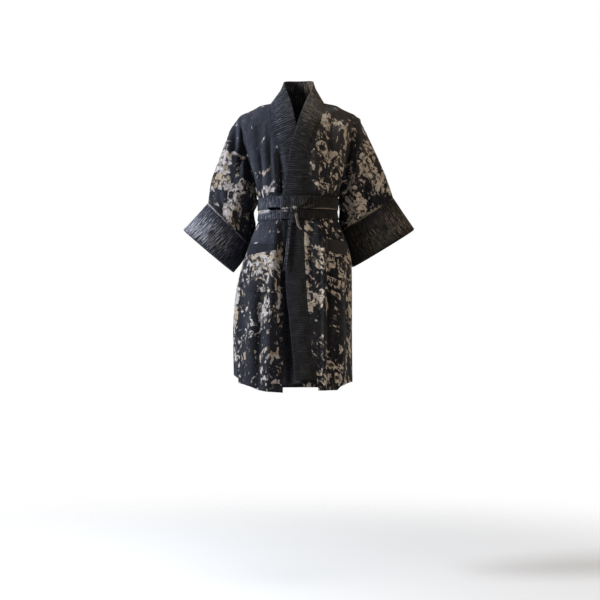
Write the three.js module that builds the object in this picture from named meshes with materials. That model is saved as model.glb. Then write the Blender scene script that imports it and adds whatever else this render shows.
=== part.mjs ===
// A short kimono robe, worn: two fronts wrapped left over right, a back, wide sleeves with deep cuffs,
// one neckband from hem to hem, two patch pockets and a tied belt. Millimetres, +Z up.
// The wearer faces -Y and the wearer's left is +X. The origin is the middle of the shoulder line at the neck.
import * as THREE from 'three';

// Cloth
const clothWall = 1.6;          // body cloth
const bandWall = 1.6;           // neckband and cuffs
const beltWall = 1.8;
const seamGap = 0.5;            // between the edges of two pieces sewn together
const sideGap = 0.8;            // the same at the side seams, which run slanting
const armholeGap = 1.7;         // and where the cloth turns sharply into the sleeve
const bandInset = 0.014;        // share of the band's width left free along its seam
const layerStep = 2.9;          // from the middle of one cloth to the middle of the cloth lying on it
const wrapStep = 3.2;           // how far the over front and its band stand off the under band
const wrapEdge = { x: 60, fade: 14, drop: 34, rise: 50 };   // where the over front comes back to the body
const weltExtra = 0.3;          // a welt lies this much further out than its pocket
const weltWall = 2;

// Figure the robe is worn on, as sections below the shoulder line
const sectionPower = 2.3;       // 2 is an ellipse, more is squarer
const shoulderRound = 78;       // radius of the roll over the shoulder
const shoulderFade = 262;       // depth at which the sections are level again
const bodySections = [
  { drop: 0, right: 212, left: 204, front: 104, back: 100 },
  { drop: 40, right: 194, left: 186, front: 106, back: 104 },
  { drop: 90, right: 182, left: 172, front: 112, back: 110 },
  { drop: 140, right: 170, left: 160, front: 118, back: 112 },
  { drop: 200, right: 153, left: 149, front: 117, back: 106 },
  { drop: 262, right: 134, left: 134, front: 106, back: 97 },
  { drop: 300, right: 123, left: 121, front: 99, back: 93 },
  { drop: 335, right: 122, left: 119, front: 98, back: 93 },
  { drop: 372, right: 126, left: 125, front: 101, back: 98 },
  { drop: 415, right: 144, left: 143, front: 110, back: 112 },
  { drop: 463, right: 161, left: 160, front: 119, back: 125 },
  { drop: 510, right: 177, left: 168, front: 126, back: 131 },
  { drop: 620, right: 200, left: 169, front: 133, back: 134 },
  { drop: 716, right: 206, left: 169, front: 137, back: 136 },
  { drop: 912, right: 203, left: 171, front: 140, back: 138 },
];

// Height of the shoulder line at a distance from the middle of the neck
const shoulderLine = [
  { out: 0, z: 26 },
  { out: 84, z: 0 },
  { out: 118, z: -7 },
  { out: 140, z: -19 },
  { out: 182, z: -38 },
  { out: 220, z: -62 },
];

// Seam lines of the panels, as a distance from the middle at each depth
const armholeBottom = 262;
const armholes = {
  right: [
    { drop: 0, x: -182 }, { drop: 40, x: -178 }, { drop: 100, x: -169 },
    { drop: 160, x: -155 }, { drop: 215, x: -142 }, { drop: 262, x: -134 },
  ],
  left: [
    { drop: 0, x: 178 }, { drop: 40, x: 170 }, { drop: 100, x: 159 },
    { drop: 160, x: 149 }, { drop: 215, x: 140 }, { drop: 262, x: 134 },
  ],
};
// How far forward of the body's side front and back meet below the armhole: the right seam swings forward
const sideSeams = {
  right: [
    { drop: 262, forward: 0 }, { drop: 420, forward: 0 }, { drop: 480, forward: 24 },
    { drop: 540, forward: 58 }, { drop: 620, forward: 86 }, { drop: 912, forward: 84 },
  ],
  left: [{ drop: 262, forward: 0 }, { drop: 912, forward: 0 }],
};
// Distance of the band seams from the middle
const bandSeams = {
  right: [
    { drop: 0, x: -87 }, { drop: 33, x: -86 }, { drop: 84, x: -80 }, { drop: 142, x: -66 },
    { drop: 200, x: -57 }, { drop: 292, x: -46 }, { drop: 380, x: -49 }, { drop: 912, x: -49 },
  ],
  left: [
    { drop: 0, x: 81 }, { drop: 52, x: 74 }, { drop: 122, x: 54 }, { drop: 178, x: 38 },
    { drop: 250, x: 29 }, { drop: 310, x: 24 }, { drop: 415, x: 17 }, { drop: 566, x: 24 },
    { drop: 664, x: 31 }, { drop: 742, x: 36 }, { drop: 810, x: 47 }, { drop: 870, x: 58 },
    { drop: 912, x: 62 },
  ],
};
const backNeckDrop = 19;        // how far the back neck is hollowed below the shoulder line

// Hem depths across each panel
const hems = {
  back: [{ x: -205, drop: 856 }, { x: -150, drop: 884 }, { x: -60, drop: 905 }, { x: 60, drop: 905 },
    { x: 170, drop: 880 }],
  right: [{ x: -200, drop: 878 }, { x: -150, drop: 888 }, { x: -120, drop: 900 }, { x: -50, drop: 907 }],
  left: [{ x: 56, drop: 900 }, { x: 118, drop: 900 }, { x: 130, drop: 888 }, { x: 172, drop: 877 }],
};

// Soft standing folds of the fronts: where, how wide and how high, and the depths between which they stand
const folds = {
  right: [
    { x: -56, width: 5, height: 8, from: 385, to: 930 },
    { x: -118, width: 22, height: 5, from: 560, to: 930 },
    { x: -28, width: 16, height: -12, from: 385, to: 930 },
  ],
  left: [
    { x: 70, width: 6, height: 5, from: 420, to: 930 },
    { x: 128, width: 20, height: 4, from: 610, to: 930 },
  ],
  back: [
    { x: -120, width: 30, height: 6, from: 430, to: 930 },
    { x: -35, width: 26, height: -5, from: 400, to: 930 },
    { x: 45, width: 26, height: 6, from: 400, to: 930 },
    { x: 125, width: 24, height: -5, from: 450, to: 930 },
  ],
};

// Free edge of the neckband and how far the band has come to lie on the fronts (0 stands around the neck,
// 1 lies on the body). A place is a distance along the seam: back to the middle of the neck below 0,
// and the depth below the neck point above 0
const bandEdges = {
  right: [
    { at: -86, x: 0, y: 66, z: 80, lies: 0 },
    { at: -42, x: -31, y: 56, z: 79, lies: 0 },
    { at: -12, x: -46, y: 28, z: 72, lies: 0 },
    { at: 0, x: -44, y: -8, z: 58, lies: 0 },
    { at: 33, x: -29, y: -56, z: 18, lies: 0.2 },
    { at: 84, x: -9, y: -96, z: -66, lies: 1 },
    { at: 142, x: 3, y: -110, z: -128, lies: 1 },
    { at: 200, x: 11, y: -115, z: -192, lies: 1 },
    { at: 292, x: 18, y: -102, z: -290, lies: 1 },
    { at: 380, x: 14, y: -102, z: -380, lies: 1 },
    { at: 884, x: 17, y: -139, z: -876, lies: 1 },
  ],
  left: [
    { at: -80, x: 0, y: 66, z: 80, lies: 0 },
    { at: -36, x: 31, y: 56, z: 80, lies: 0 },
    { at: -10, x: 47, y: 28, z: 74, lies: 0 },
    { at: 0, x: 46, y: -6, z: 60, lies: 0 },
    { at: 30, x: 30, y: -54, z: 18, lies: 0.2 },
    { at: 72, x: 12, y: -84, z: -28, lies: 0.8 },
    { at: 122, x: -6, y: -104, z: -84, lies: 1 },
    { at: 178, x: -24, y: -113, z: -152, lies: 1 },
    { at: 250, x: -37, y: -108, z: -230, lies: 1 },
    { at: 310, x: -41, y: -100, z: -305, lies: 1 },
    { at: 415, x: -28, y: -110, z: -415, lies: 1 },
    { at: 566, x: -39, y: -130, z: -563, lies: 1 },
    { at: 664, x: -29, y: -136, z: -668, lies: 1 },
    { at: 742, x: -22, y: -138, z: -740, lies: 1 },
    { at: 810, x: -15, y: -139, z: -810, lies: 1 },
    { at: 866, x: -10, y: -140, z: -868, lies: 1 },
  ],
};

// Sleeve and cuff rings after the armhole: outer edge, inner edge with how far it hangs behind the body's
// side, and depth before and behind
const sleeveRings = {
  right: [
    { outX: -208, outZ: -72, inX: -136, inZ: -286, inY: 6, front: 50, back: 50 },
    { outX: -232, outZ: -128, inX: -135, inZ: -318, inY: 14, front: 52, back: 48 },
    { outX: -257, outZ: -192, inX: -138, inZ: -350, inY: 24, front: 50, back: 42 },
    { outX: -277, outZ: -252, inX: -138, inZ: -392, inY: 34, front: 46, back: 36 },
    { outX: -285, outZ: -313, inX: -156, inZ: -445, inY: 34, front: 40, back: 30 },
  ],
  left: [
    { outX: 202, outZ: -70, inX: 135, inZ: -284, inY: 6, front: 50, back: 50 },
    { outX: 222, outZ: -110, inX: 132, inZ: -312, inY: 14, front: 52, back: 48 },
    { outX: 251, outZ: -171, inX: 131, inZ: -342, inY: 24, front: 50, back: 42 },
    { outX: 281, outZ: -244, inX: 131, inZ: -370, inY: 32, front: 46, back: 36 },
    { outX: 299, outZ: -297, inX: 139, inZ: -400, inY: 34, front: 42, back: 32 },
  ],
};
const cuffRings = {
  right: [
    { outX: -285.4, outZ: -313.8, inX: -156.5, inZ: -445.8, inY: 34, front: 40, back: 30 },
    { outX: -324, outZ: -357, inX: -174, inZ: -489, inY: 32, front: 44, back: 34 },
    { outX: -363, outZ: -398, inX: -206, inZ: -531, inY: 20, front: 46, back: 42 },
  ],
  left: [
    { outX: 299.4, outZ: -297.8, inX: 139.4, inZ: -400.8, inY: 34, front: 42, back: 32 },
    { outX: 333, outZ: -348, inX: 160, inZ: -456, inY: 34, front: 44, back: 35 },
    { outX: 366, outZ: -396, inX: 172, inZ: -514, inY: 26, front: 46, back: 40 },
  ],
};

// Pockets: each welt from its inner to its outer end, with the depth of its top and bottom edges there
const pockets = {
  right: {
    innerX: -67, outerX: -151, topInner: 446, topOuter: 445, weltInner: 466, weltOuter: 481, bottom: 598,
  },
  left: {
    innerX: 81, outerX: 150, topInner: 431, topOuter: 444, weltInner: 467, weltOuter: 483, bottom: 587,
  },
};

// Belt: two turns, knot and tails
const belt = {
  upper: { top: 299, bottom: 339, stand: 6.6 },
  lower: { top: 334, bottom: 369, stand: 3.9 },
  spreadRight: 48,              // how far the wrapped bands lift the belt to each side
  spreadLeft: 64,
  spreadFade: 24,
  knot: {
    x: -27, z: -341, halfWidth: 27, halfHeight: 11, halfDepth: 8, gap: 0.4,
    fullness: 0.6, pinch: 0.16, pinchWidth: 6,
  },
};
const tails = {
  long: [
    { x: -22, z: -351.8, width: 15 }, { x: -28, z: -400, width: 12 }, { x: -29, z: -428, width: 11 },
    { x: -34, z: -468, width: 12 }, { x: -37, z: -500, width: 12 }, { x: -41, z: -530, width: 12 },
  ],
  short: [
    { x: -6, z: -351.1, width: 14 }, { x: -2, z: -375, width: 13 }, { x: 1, z: -390, width: 12 },
    { x: 10, z: -404, width: 11 },
  ],
};
const tailStand = 10.7;         // middle of a tail from the body line, so that it hangs clear of the bands
const knotStand = 6;            // how much further out the tails leave the knot
const tailFall = 28;            // length in which they come back to the robe
const tailThickness = 3;        // a tail is the belt folded double

const { PI, abs, asin, cos, max, min, sign, sin, sqrt } = Math;
const mix = (a, b, t) => a + (b - a) * t;
const ease = (t) => {
  const c = min(1, max(0, t));
  return c * c * (3 - 2 * c);
};

// Value of one column of a table at a place along another, by a smooth curve through the rows
function column(table, along, name, at) {
  const rising = table[0][along] < table[table.length - 1][along] ? table : [...table].reverse();
  const place = min(max(at, rising[0][along]), rising[rising.length - 1][along]);
  let i = 0;
  while (i < rising.length - 2 && rising[i + 1][along] < place) i += 1;
  const [a, b] = [rising[i], rising[i + 1]];
  const slope = (p, q) => (q[name] - p[name]) / (q[along] - p[along]);
  const here = slope(a, b);
  const blend = (before, after) => (before * after <= 0 ? 0 : 2 * before * after / (before + after));
  const startSlope = i > 0 ? blend(slope(rising[i - 1], a), here) : here;
  const endSlope = i < rising.length - 2 ? blend(here, slope(b, rising[i + 2])) : here;
  const span = b[along] - a[along];
  const t = (place - a[along]) / span;
  return a[name] * (1 + 2 * t) * (1 - t) ** 2 + b[name] * (3 - 2 * t) * t * t
    + span * (startSlope * t * (1 - t) ** 2 - endSlope * (1 - t) * t * t);
}

// Value of a row by its number, so that a table can be walked from its first row to its last
const walked = (table) => table.map((row, step) => ({ ...row, step }));

const body = (name, drop) => column(bodySections, 'drop', name, drop);
const halfWidth = (side, drop) => body(side < 0 ? 'right' : 'left', drop);
const shoulderZ = (x) => column(shoulderLine, 'out', 'z', abs(x));
const fade = (drop) => max(0, 1 - drop / shoulderFade);
const roll = (drop) => (drop >= shoulderRound ? 1 : sqrt(max(0, 1 - (1 - drop / shoulderRound) ** 2)));
const dropAt = (x, z) => {
  const slopeShare = shoulderZ(x) / shoulderFade;
  const drop = (shoulderZ(x) - z) / (1 + slopeShare);
  return drop < shoulderFade ? drop : -z;
};
const angleAt = (x, drop) => {
  const share = min(1, abs(x) / halfWidth(x, drop));
  return sign(x) * asin(share ** (sectionPower / 2));
};

// Point of the body: angle 0 is the middle of the front, growing toward the wearer's left, PI is the back
function bodyPoint(angle, drop) {
  const across = sign(sin(angle)) * abs(sin(angle)) ** (2 / sectionPower);
  const x = halfWidth(across, drop) * across;
  const depth = cos(angle) > 0 ? -body('front', drop) : body('back', drop);
  const y = depth * abs(cos(angle)) ** (2 / sectionPower) * roll(drop);
  return new THREE.Vector3(x, y, -drop + shoulderZ(x) * fade(drop));
}
const outward = (angle, drop) => {
  const step = 0.02;
  const a = bodyPoint(angle - step, drop);
  const b = bodyPoint(angle + step, drop);
  return new THREE.Vector3(b.y - a.y, a.x - b.x, 0).normalize();
};
const raised = (angle, drop, height) => bodyPoint(angle, drop).addScaledVector(outward(angle, drop), height);

function foldHeight(list, x, drop) {
  return list.reduce((sum, fold) => {
    const across = (x - fold.x) / fold.width;
    const along = ease((drop - fold.from) / 70) * (0.6 + 0.4 * ease((drop - fold.from) / 400));
    return sum + (drop < fold.to ? fold.height * Math.exp(-across * across) * along : 0);
  }, 0);
}

// Closed wall around a middle surface: rows of points, pushed out to both sides, with rims at the free edges
function wall(surface, across, along, thickness, closed = false) {
  const columns = closed ? across : across + 1;
  const middle = [];
  for (let j = 0; j <= along; j += 1) {
    for (let i = 0; i < columns; i += 1) middle.push(surface(i / across, j / along));
  }
  const at = (i, j) => middle[j * columns + (closed ? (i + columns) % columns : i)];
  const inside = (i, last) => min(last, max(0, i));
  const positions = [];
  for (const side of [0.5, -0.5]) {
    for (let j = 0; j <= along; j += 1) {
      for (let i = 0; i < columns; i += 1) {
        const [left, right] = closed ? [i - 1, i + 1] : [inside(i - 1, across), inside(i + 1, across)];
        const du = at(right, j).clone().sub(at(left, j));
        const dv = at(i, inside(j + 1, along)).clone().sub(at(i, inside(j - 1, along)));
        const normal = du.cross(dv).normalize();
        positions.push(...at(i, j).clone().addScaledVector(normal, side * thickness).toArray());
      }
    }
  }
  const total = columns * (along + 1);
  const index = [];
  const quad = (a, b, c, d) => index.push(a, b, c, a, c, d);
  const id = (i, j, side) => side * total + j * columns + (closed ? i % columns : i);
  for (let j = 0; j < along; j += 1) {
    for (let i = 0; i < across; i += 1) {
      quad(id(i, j, 0), id(i + 1, j, 0), id(i + 1, j + 1, 0), id(i, j + 1, 0));
      quad(id(i, j, 1), id(i, j + 1, 1), id(i + 1, j + 1, 1), id(i + 1, j, 1));
    }
  }
  for (let i = 0; i < across; i += 1) {
    quad(id(i, 0, 0), id(i, 0, 1), id(i + 1, 0, 1), id(i + 1, 0, 0));
    quad(id(i, along, 0), id(i + 1, along, 0), id(i + 1, along, 1), id(i, along, 1));
  }
  if (!closed) {
    for (let j = 0; j < along; j += 1) {
      quad(id(0, j, 0), id(0, j + 1, 0), id(0, j + 1, 1), id(0, j, 1));
      quad(id(across, j, 0), id(across, j, 1), id(across, j + 1, 1), id(across, j + 1, 0));
    }
  }
  return outFacing(positions, index);
}

// Geometry with its faces turned out, whichever way round its surface was given
function outFacing(positions, index) {
  const p = (i) => new THREE.Vector3(...positions.slice(3 * i, 3 * i + 3));
  let volume = 0;
  for (let i = 0; i < index.length; i += 3) {
    volume += p(index[i]).dot(p(index[i + 1]).cross(p(index[i + 2])));
  }
  if (volume < 0) index.reverse();
  const geometry = new THREE.BufferGeometry();
  geometry.setAttribute('position', new THREE.Float32BufferAttribute(positions, 3));
  geometry.setIndex(index);
  geometry.computeVertexNormals();
  return geometry;
}

// Depth of a row: the first rows roll over the shoulder, the rest run evenly down to the hem
const bodyRows = 22;            // the same on back and fronts, so that their side seams match
const rollRows = 0.16;          // share of them on the roll over the shoulder
const hemLevel = 895;
function rowDrop(v, start = 0.001) {
  if (v < rollRows) {
    const first = Math.acos(1 - start / shoulderRound);
    return shoulderRound * (1 - cos(mix(first, PI / 2, v / rollRows)));
  }
  return mix(shoulderRound, hemLevel, (v - rollRows) / (1 - rollRows));
}

// Angle of a panel's outer edge: the armhole, then the side seam, half a seam gap back from the line
function sideAngle(side, drop, facing) {
  const turn = side === 'right' ? -1 : 1;
  const wide = body(side, drop);
  let angle;
  if (drop < armholeBottom) {
    const line = abs(angleAt(column(armholes[side], 'drop', 'x', drop), drop));
    angle = facing < 0 ? line : PI - line;
  } else {
    const forward = column(sideSeams[side], 'drop', 'forward', drop);
    angle = PI / 2 - forward / wide;
  }
  const gap = drop < armholeBottom ? armholeGap : sideGap;
  return turn * (angle + facing * gap / wide);
}

// Point on the outer face of a front's cloth at a place across and a depth, with its folds and its wrap
function frontAt(x, drop, side) {
  return raised(angleAt(x, drop), drop, wrapLift(x, drop, side) + foldHeight(folds[side], x, drop));
}
// The over front and its band stand off the under band, and come back to the body beyond it
function wrapLift(x, drop, side) {
  if (side === 'right') return 0;
  return wrapStep * (1 - ease((x - wrapEdge.x) / wrapEdge.fade)) * ease((drop - wrapEdge.drop) / wrapEdge.rise);
}

function frontSurface(side, u, v) {
  const turn = side === 'right' ? -1 : 1;
  const hemDrop = (x) => column(hems[side], 'x', 'drop', x);
  const nominal = rowDrop(v);
  const inner = angleAt(column(bandSeams[side], 'drop', 'x', nominal) + turn * seamGap, nominal);
  const outer = sideAngle(side, nominal, -1);
  const angle = mix(inner, outer, u ** 1.4);
  const x = bodyPoint(angle, nominal).x;
  const drop = nominal + (hemDrop(x) - hemLevel) * ease((v - 0.5) * 2);
  return raised(angle, drop, wrapLift(x, drop, side) + foldHeight(folds[side], x, drop));
}

// Depth of the back neck seam below the shoulder line, and a point on it
function neckHollow(x) {
  const share = abs(x / bandSeams[x < 0 ? 'right' : 'left'][0].x);
  return max(0.001, backNeckDrop * (1 - share ** 3.2));
}
function backNeckPoint(x) {
  const drop = neckHollow(x);
  return bodyPoint(PI - angleAt(x, drop), drop);
}

// Columns of the back that leave from the neck hollow, and the share of its length in which they even out
const backColumns = 25;
const neckColumns = { first: 7, last: 18, evenBy: 0.45 };
function backSurface(u, v) {
  const neck = { right: bandSeams.right[0].x, left: bandSeams.left[0].x,
    start: neckColumns.first / backColumns, end: neckColumns.last / backColumns };
  const ends = [armholes.right[0].x, armholes.left[0].x];
  const middle = (u - neck.start) / (neck.end - neck.start);
  let topX;
  if (u < neck.start) topX = mix(ends[0], neck.right, u / neck.start);
  else if (u > neck.end) topX = mix(neck.left, ends[1], (u - neck.end) / (1 - neck.end));
  else topX = mix(neck.right, neck.left, (1 + sin(PI * (middle - 0.5))) / 2);
  const nominal = rowDrop(v, neckHollow(topX));
  const topAngle = PI - angleAt(topX, nominal);
  const even = mix(sideAngle('right', nominal, 1) + 2 * PI, sideAngle('left', nominal, 1), u);
  const fromSide = ease(min(u / neck.start, (1 - u) / (1 - neck.end), 1));
  const amongTop = fromSide * (1 - ease(v / neckColumns.evenBy));
  const angle = mix(even, topAngle, amongTop);
  const place = bodyPoint(angle, nominal);
  const drop = nominal + (column(hems.back, 'x', 'drop', place.x) - hemLevel) * ease((v - 0.5) * 2);
  return raised(angle, drop, foldHeight(folds.back, place.x, drop));
}

// Place along a side's seam: rows stand closest where the band turns over the shoulder
const neckShare = 7 / 32;       // share of a side's rows that run around the neck
const foldOver = 4;             // how soon the band comes to lie on the body, counted from its seam
function bandPlace(neck, hem, t) {
  if (t < neckShare) return neck * (1 - sin((PI / 2) * (t / neckShare)));
  return hem * ((t - neckShare) / (1 - neckShare)) ** 1.35;
}

// Neckband: from the right hem up around the neck and down to the left hem
function bandSurface(w, s) {
  const side = s < 0.5 ? 'right' : 'left';
  const rows = bandEdges[side];
  const neck = rows[0].at;
  const at = bandPlace(neck, rows[rows.length - 1].at, abs(2 * s - 1));
  const lies = column(rows, 'at', 'lies', at);
  const free = new THREE.Vector3(...['x', 'y', 'z'].map((name) => column(rows, 'at', name, at)));
  const seam = at < 0 ? backNeckPoint(bandSeams[side][0].x * (1 - at / neck))
    : frontAt(column(bandSeams[side], 'drop', 'x', at), at, side);
  const share = mix(bandInset, 1, w);
  const standing = seam.clone().lerp(free, share);
  if (lies <= 0) return standing;
  const x = standing.x;
  const lying = frontAt(x, dropAt(x, standing.z), side);
  return standing.lerp(lying, lies * ease(w * foldOver + 1 - lies));
}

// Armhole loop: 0 is the shoulder, PI the underarm, the front between them
function armholePoint(side, t) {
  const turn = side === 'right' ? -1 : 1;
  const drop = armholeBottom * (1 - cos(t)) / 2;
  const line = abs(angleAt(column(armholes[side], 'drop', 'x', drop), drop));
  const point = bodyPoint(turn * (sin(t) > 0 ? line : PI - line), drop);
  if (abs(sin(t)) < 1e-6) point.y = 0;
  return point;
}
const ringFullness = 0.9;       // below 1 a ring is fuller than a lens
function ringPoint(ring, t) {
  const share = (1 + cos(t)) / 2;
  const depth = sin(t) > 0 ? -ring.front : ring.back;
  return new THREE.Vector3(mix(ring.inX, ring.outX, share),
    depth * abs(sin(t)) ** ringFullness + ring.inY * (1 - share) ** 2, mix(ring.inZ, ring.outZ, share));
}

// Point on the smooth line through the rings at one place of the loop
function throughRings(points, s) {
  const rows = points.map((p, step) => ({ x: p.x, y: p.y, z: p.z, step }));
  const at = s * (rows.length - 1);
  return new THREE.Vector3(...['x', 'y', 'z'].map((name) => column(rows, 'step', name, at)));
}
const armholePull = 0.004;      // the sleeve starts this share of its length outside the armhole seam
const armholeStand = 0.3;       // stands this far out from it
const underarmStand = 1.7;      // and this much more at the underarm, clear of the body's side
function sleeveSurface(side, u, v) {
  const t = 2 * PI * u;
  const start = armholePoint(side, t);
  start.x += sign(start.x) * (armholeStand + underarmStand * ease((1 - cos(t)) / 2));
  const points = [start, ...sleeveRings[side].map((ring) => ringPoint(ring, t))];
  return throughRings(points, mix(armholePull, 1, v));
}
function cuffSurface(side, u, v) {
  return throughRings(cuffRings[side].map((ring) => ringPoint(ring, 2 * PI * u)), v);
}

// Patch on a front: the front's own line, moved out
function patchSurface(side, inner, outer, u, v, top, bottom, height) {
  const depth = mix(mix(top[0], top[1], u), mix(bottom[0], bottom[1], u), v);
  const angle = mix(angleAt(inner, depth), angleAt(outer, depth), u);
  const x = bodyPoint(angle, depth).x;
  return raised(angle, depth, height + foldHeight(folds[side], x, depth));
}
function pocketParts(side) {
  const p = pockets[side];
  const turn = side === 'right' ? -1 : 1;
  const out = p.outerX - turn;
  const welt = (u, v) => patchSurface(side, p.innerX, p.outerX, u, v, [p.topInner, p.topOuter],
    [p.weltInner, p.weltOuter], layerStep + weltExtra);
  const pocket = (u, v) => patchSurface(side, p.innerX + turn, out, u, v,
    [p.weltInner + seamGap, p.weltOuter + seamGap], [p.bottom, p.bottom - 4], layerStep);
  return [
    [`pocket_welt_${side}`, wall(welt, 8, 2, weltWall), cloth.plain],
    [`pocket_${side}`, wall(pocket, 8, 5, clothWall), cloth.mottled],
  ];
}

// Belt turn: a level loop around the waist, lifted where the wrapped bands lie under it
function beltSurface(turn, u, v) {
  const angle = 2 * PI * u;
  const drop = mix(turn.top, turn.bottom, v);
  const x = bodyPoint(angle, drop).x;
  const spread = x > 0 ? belt.spreadLeft : belt.spreadRight;
  const front = cos(angle) > 0 ? 1 - ease((abs(x) - spread) / belt.spreadFade) : 0;
  return raised(angle, drop, turn.stand + wrapStep * front);
}
const frontY = (x, z, height) => raised(angleAt(x, -z), -z, height).y;

// Knot: a wrapped lump, waisted where the belt passes through itself
function knotGeometry() {
  const { x, z, halfWidth: wide, halfHeight, halfDepth, gap, fullness, pinch, pinchWidth } = belt.knot;
  const around = 14;
  const rings = 8;
  const positions = [];
  const index = [];
  const y = frontY(x, z, belt.upper.stand + wrapStep + beltWall / 2 + gap + halfDepth);
  const id = (i, j) => 1 + (j - 1) * around + (i % around);
  positions.push(x - wide, y, z);
  for (let j = 1; j < rings; j += 1) {
    const t = (PI * j) / rings;
    const swell = sin(t) ** fullness * (1 - pinch * Math.exp(-(((cos(t) * wide) / pinchWidth) ** 2)));
    for (let i = 0; i < around; i += 1) {
      const a = (2 * PI * i) / around;
      positions.push(x - wide * cos(t), y + halfDepth * swell * sin(a), z + halfHeight * swell * cos(a));
    }
  }
  positions.push(x + wide, y, z);
  const last = 1 + (rings - 1) * around;
  for (let i = 0; i < around; i += 1) {
    index.push(0, id(i, 1), id(i + 1, 1));
    index.push(last, id(i + 1, rings - 1), id(i, rings - 1));
    for (let j = 1; j < rings - 1; j += 1) {
      index.push(id(i, j), id(i, j + 1), id(i + 1, j + 1), id(i, j), id(i + 1, j + 1), id(i + 1, j));
    }
  }
  return outFacing(positions, index);
}
function tailSurface(stations, u, v) {
  const rows = walked(stations);
  const get = (name) => column(rows, 'step', name, v * (rows.length - 1));
  const x = get('x') + get('width') * (u - 0.5);
  const z = get('z');
  const stand = tailStand + knotStand * (1 - ease((v * (stations[0].z - stations.at(-1).z)) / tailFall));
  return new THREE.Vector3(x, frontY(get('x'), z, stand), z);
}

// Cloth colours
const cloth = {
  mottled: new THREE.MeshStandardMaterial({ color: 0x2f3038, roughness: 0.9, metalness: 0 }),
  ribbed: new THREE.MeshStandardMaterial({ color: 0x26262a, roughness: 0.88, metalness: 0 }),
  plain: new THREE.MeshStandardMaterial({ color: 0x1f2028, roughness: 0.9, metalness: 0 }),
};

const kimono = new THREE.Group();
function add(name, geometry, material) {
  const mesh = new THREE.Mesh(geometry, material);
  mesh.name = name;
  kimono.add(mesh);
}

add('back', wall(backSurface, backColumns, bodyRows, clothWall), cloth.mottled);
for (const side of ['right', 'left']) {
  add(`front_${side}`, wall((u, v) => frontSurface(side, u, v), 13, bodyRows, clothWall), cloth.mottled);
  add(`sleeve_${side}`, wall((u, v) => sleeveSurface(side, u, v), 22, 8, clothWall, true), cloth.mottled);
  add(`cuff_${side}`, wall((u, v) => cuffSurface(side, u, v), 22, 3, bandWall, true), cloth.ribbed);
  for (const [name, geometry, material] of pocketParts(side)) add(name, geometry, material);
}
add('neckband', wall(bandSurface, 3, 64, bandWall), cloth.ribbed);
add('belt_upper', wall((u, v) => beltSurface(belt.upper, u, v), 36, 2, beltWall, true), cloth.ribbed);
add('belt_lower', wall((u, v) => beltSurface(belt.lower, u, v), 36, 2, beltWall, true), cloth.ribbed);
add('belt_knot', knotGeometry(), cloth.ribbed);
add('belt_tail_long', wall((u, v) => tailSurface(tails.long, u, v), 2, 10, tailThickness), cloth.ribbed);
add('belt_tail_short', wall((u, v) => tailSurface(tails.short, u, v), 2, 5, tailThickness), cloth.ribbed);

export default kimono;
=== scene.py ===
import math

import bpy
import numpy as np
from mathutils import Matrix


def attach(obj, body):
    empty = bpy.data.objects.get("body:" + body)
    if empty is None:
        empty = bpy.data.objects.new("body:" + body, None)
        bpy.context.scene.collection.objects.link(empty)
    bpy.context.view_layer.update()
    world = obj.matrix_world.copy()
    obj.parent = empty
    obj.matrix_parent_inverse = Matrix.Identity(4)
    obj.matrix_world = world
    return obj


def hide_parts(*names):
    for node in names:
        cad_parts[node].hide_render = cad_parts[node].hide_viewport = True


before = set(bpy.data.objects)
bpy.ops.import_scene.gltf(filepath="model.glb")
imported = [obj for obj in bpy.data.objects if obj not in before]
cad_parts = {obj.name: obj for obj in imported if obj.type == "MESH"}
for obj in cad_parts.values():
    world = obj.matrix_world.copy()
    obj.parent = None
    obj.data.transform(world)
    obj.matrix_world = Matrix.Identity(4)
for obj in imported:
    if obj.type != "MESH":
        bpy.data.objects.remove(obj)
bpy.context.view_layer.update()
print("frame loaded")

# Lengths below are millimetres unless they say metres. The wearer faces -Y and the wearer's left is +X.
metre = 0.001
tiny = 1e-9
sides = {"right": -1, "left": 1}

# Camera, lamps and room are in metres
view = dict(distance=5.0, height=-0.621, aside=0.005, frameWidth=1.901, sensor=36, farthest=60)
cameraData = bpy.data.cameras.new("camera")
cameraData.sensor_width = view["sensor"]
cameraData.lens = view["sensor"] * view["distance"] / view["frameWidth"]
cameraData.clip_end = view["farthest"]
camera = bpy.data.objects.new("camera", cameraData)
bpy.context.collection.objects.link(camera)
camera.location = (view["aside"], -view["distance"], view["height"])
camera.rotation_euler = (math.pi / 2, 0, 0)
scene = bpy.context.scene
scene.camera = camera
scene.view_settings.view_transform = "Standard"

lamps = [
    dict(name="keyLeft", at=(-3.5, -1.15, 1.1), size=(1.0, 1.8), power=300, colour=(0.88, 0.94, 1.0)),
    dict(name="fillRight", at=(3.1, -2.1, 0.5), size=(1.0, 1.8), power=52, colour=(1.0, 0.84, 0.66)),
    dict(name="softTop", at=(0.2, -0.8, 2.8), size=(2.0, 2.0), power=22, colour=(1.0, 0.98, 0.95)),
    dict(name="backLeft", at=(-2.4, 3.2, 0.8), size=(1.4, 2.2), power=40, colour=(0.95, 0.97, 1.0)),
    dict(name="backRight", at=(2.8, 2.8, 0.3), size=(1.2, 2.2), power=30, colour=(1.0, 0.93, 0.85)),
]
room = dict(target=(0.0, 0.0, -0.45), ambient=0.055, ambientColour=(0.97, 0.98, 1.0), backdrop=1.0,
            floorZ=-1.518, floorRadius=2.6, floorColour=(0.86, 0.86, 0.87), floorSolid=0.2)


def makeLamps():
    # Each lamp is a soft rectangle turned to face the middle of the robe
    for lamp in lamps:
        data = bpy.data.lights.new(lamp["name"], "AREA")
        data.shape = "RECTANGLE"
        data.size, data.size_y = lamp["size"]
        data.energy = lamp["power"]
        data.color = lamp["colour"]
        holder = bpy.data.objects.new(lamp["name"], data)
        bpy.context.collection.objects.link(holder)
        holder.location = lamp["at"]
        away = np.array(lamp["at"]) - np.array(room["target"])
        flat = math.hypot(away[0], away[1])
        holder.rotation_euler = (math.atan2(flat, away[2]), 0, math.atan2(away[0], -away[1]))


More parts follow.
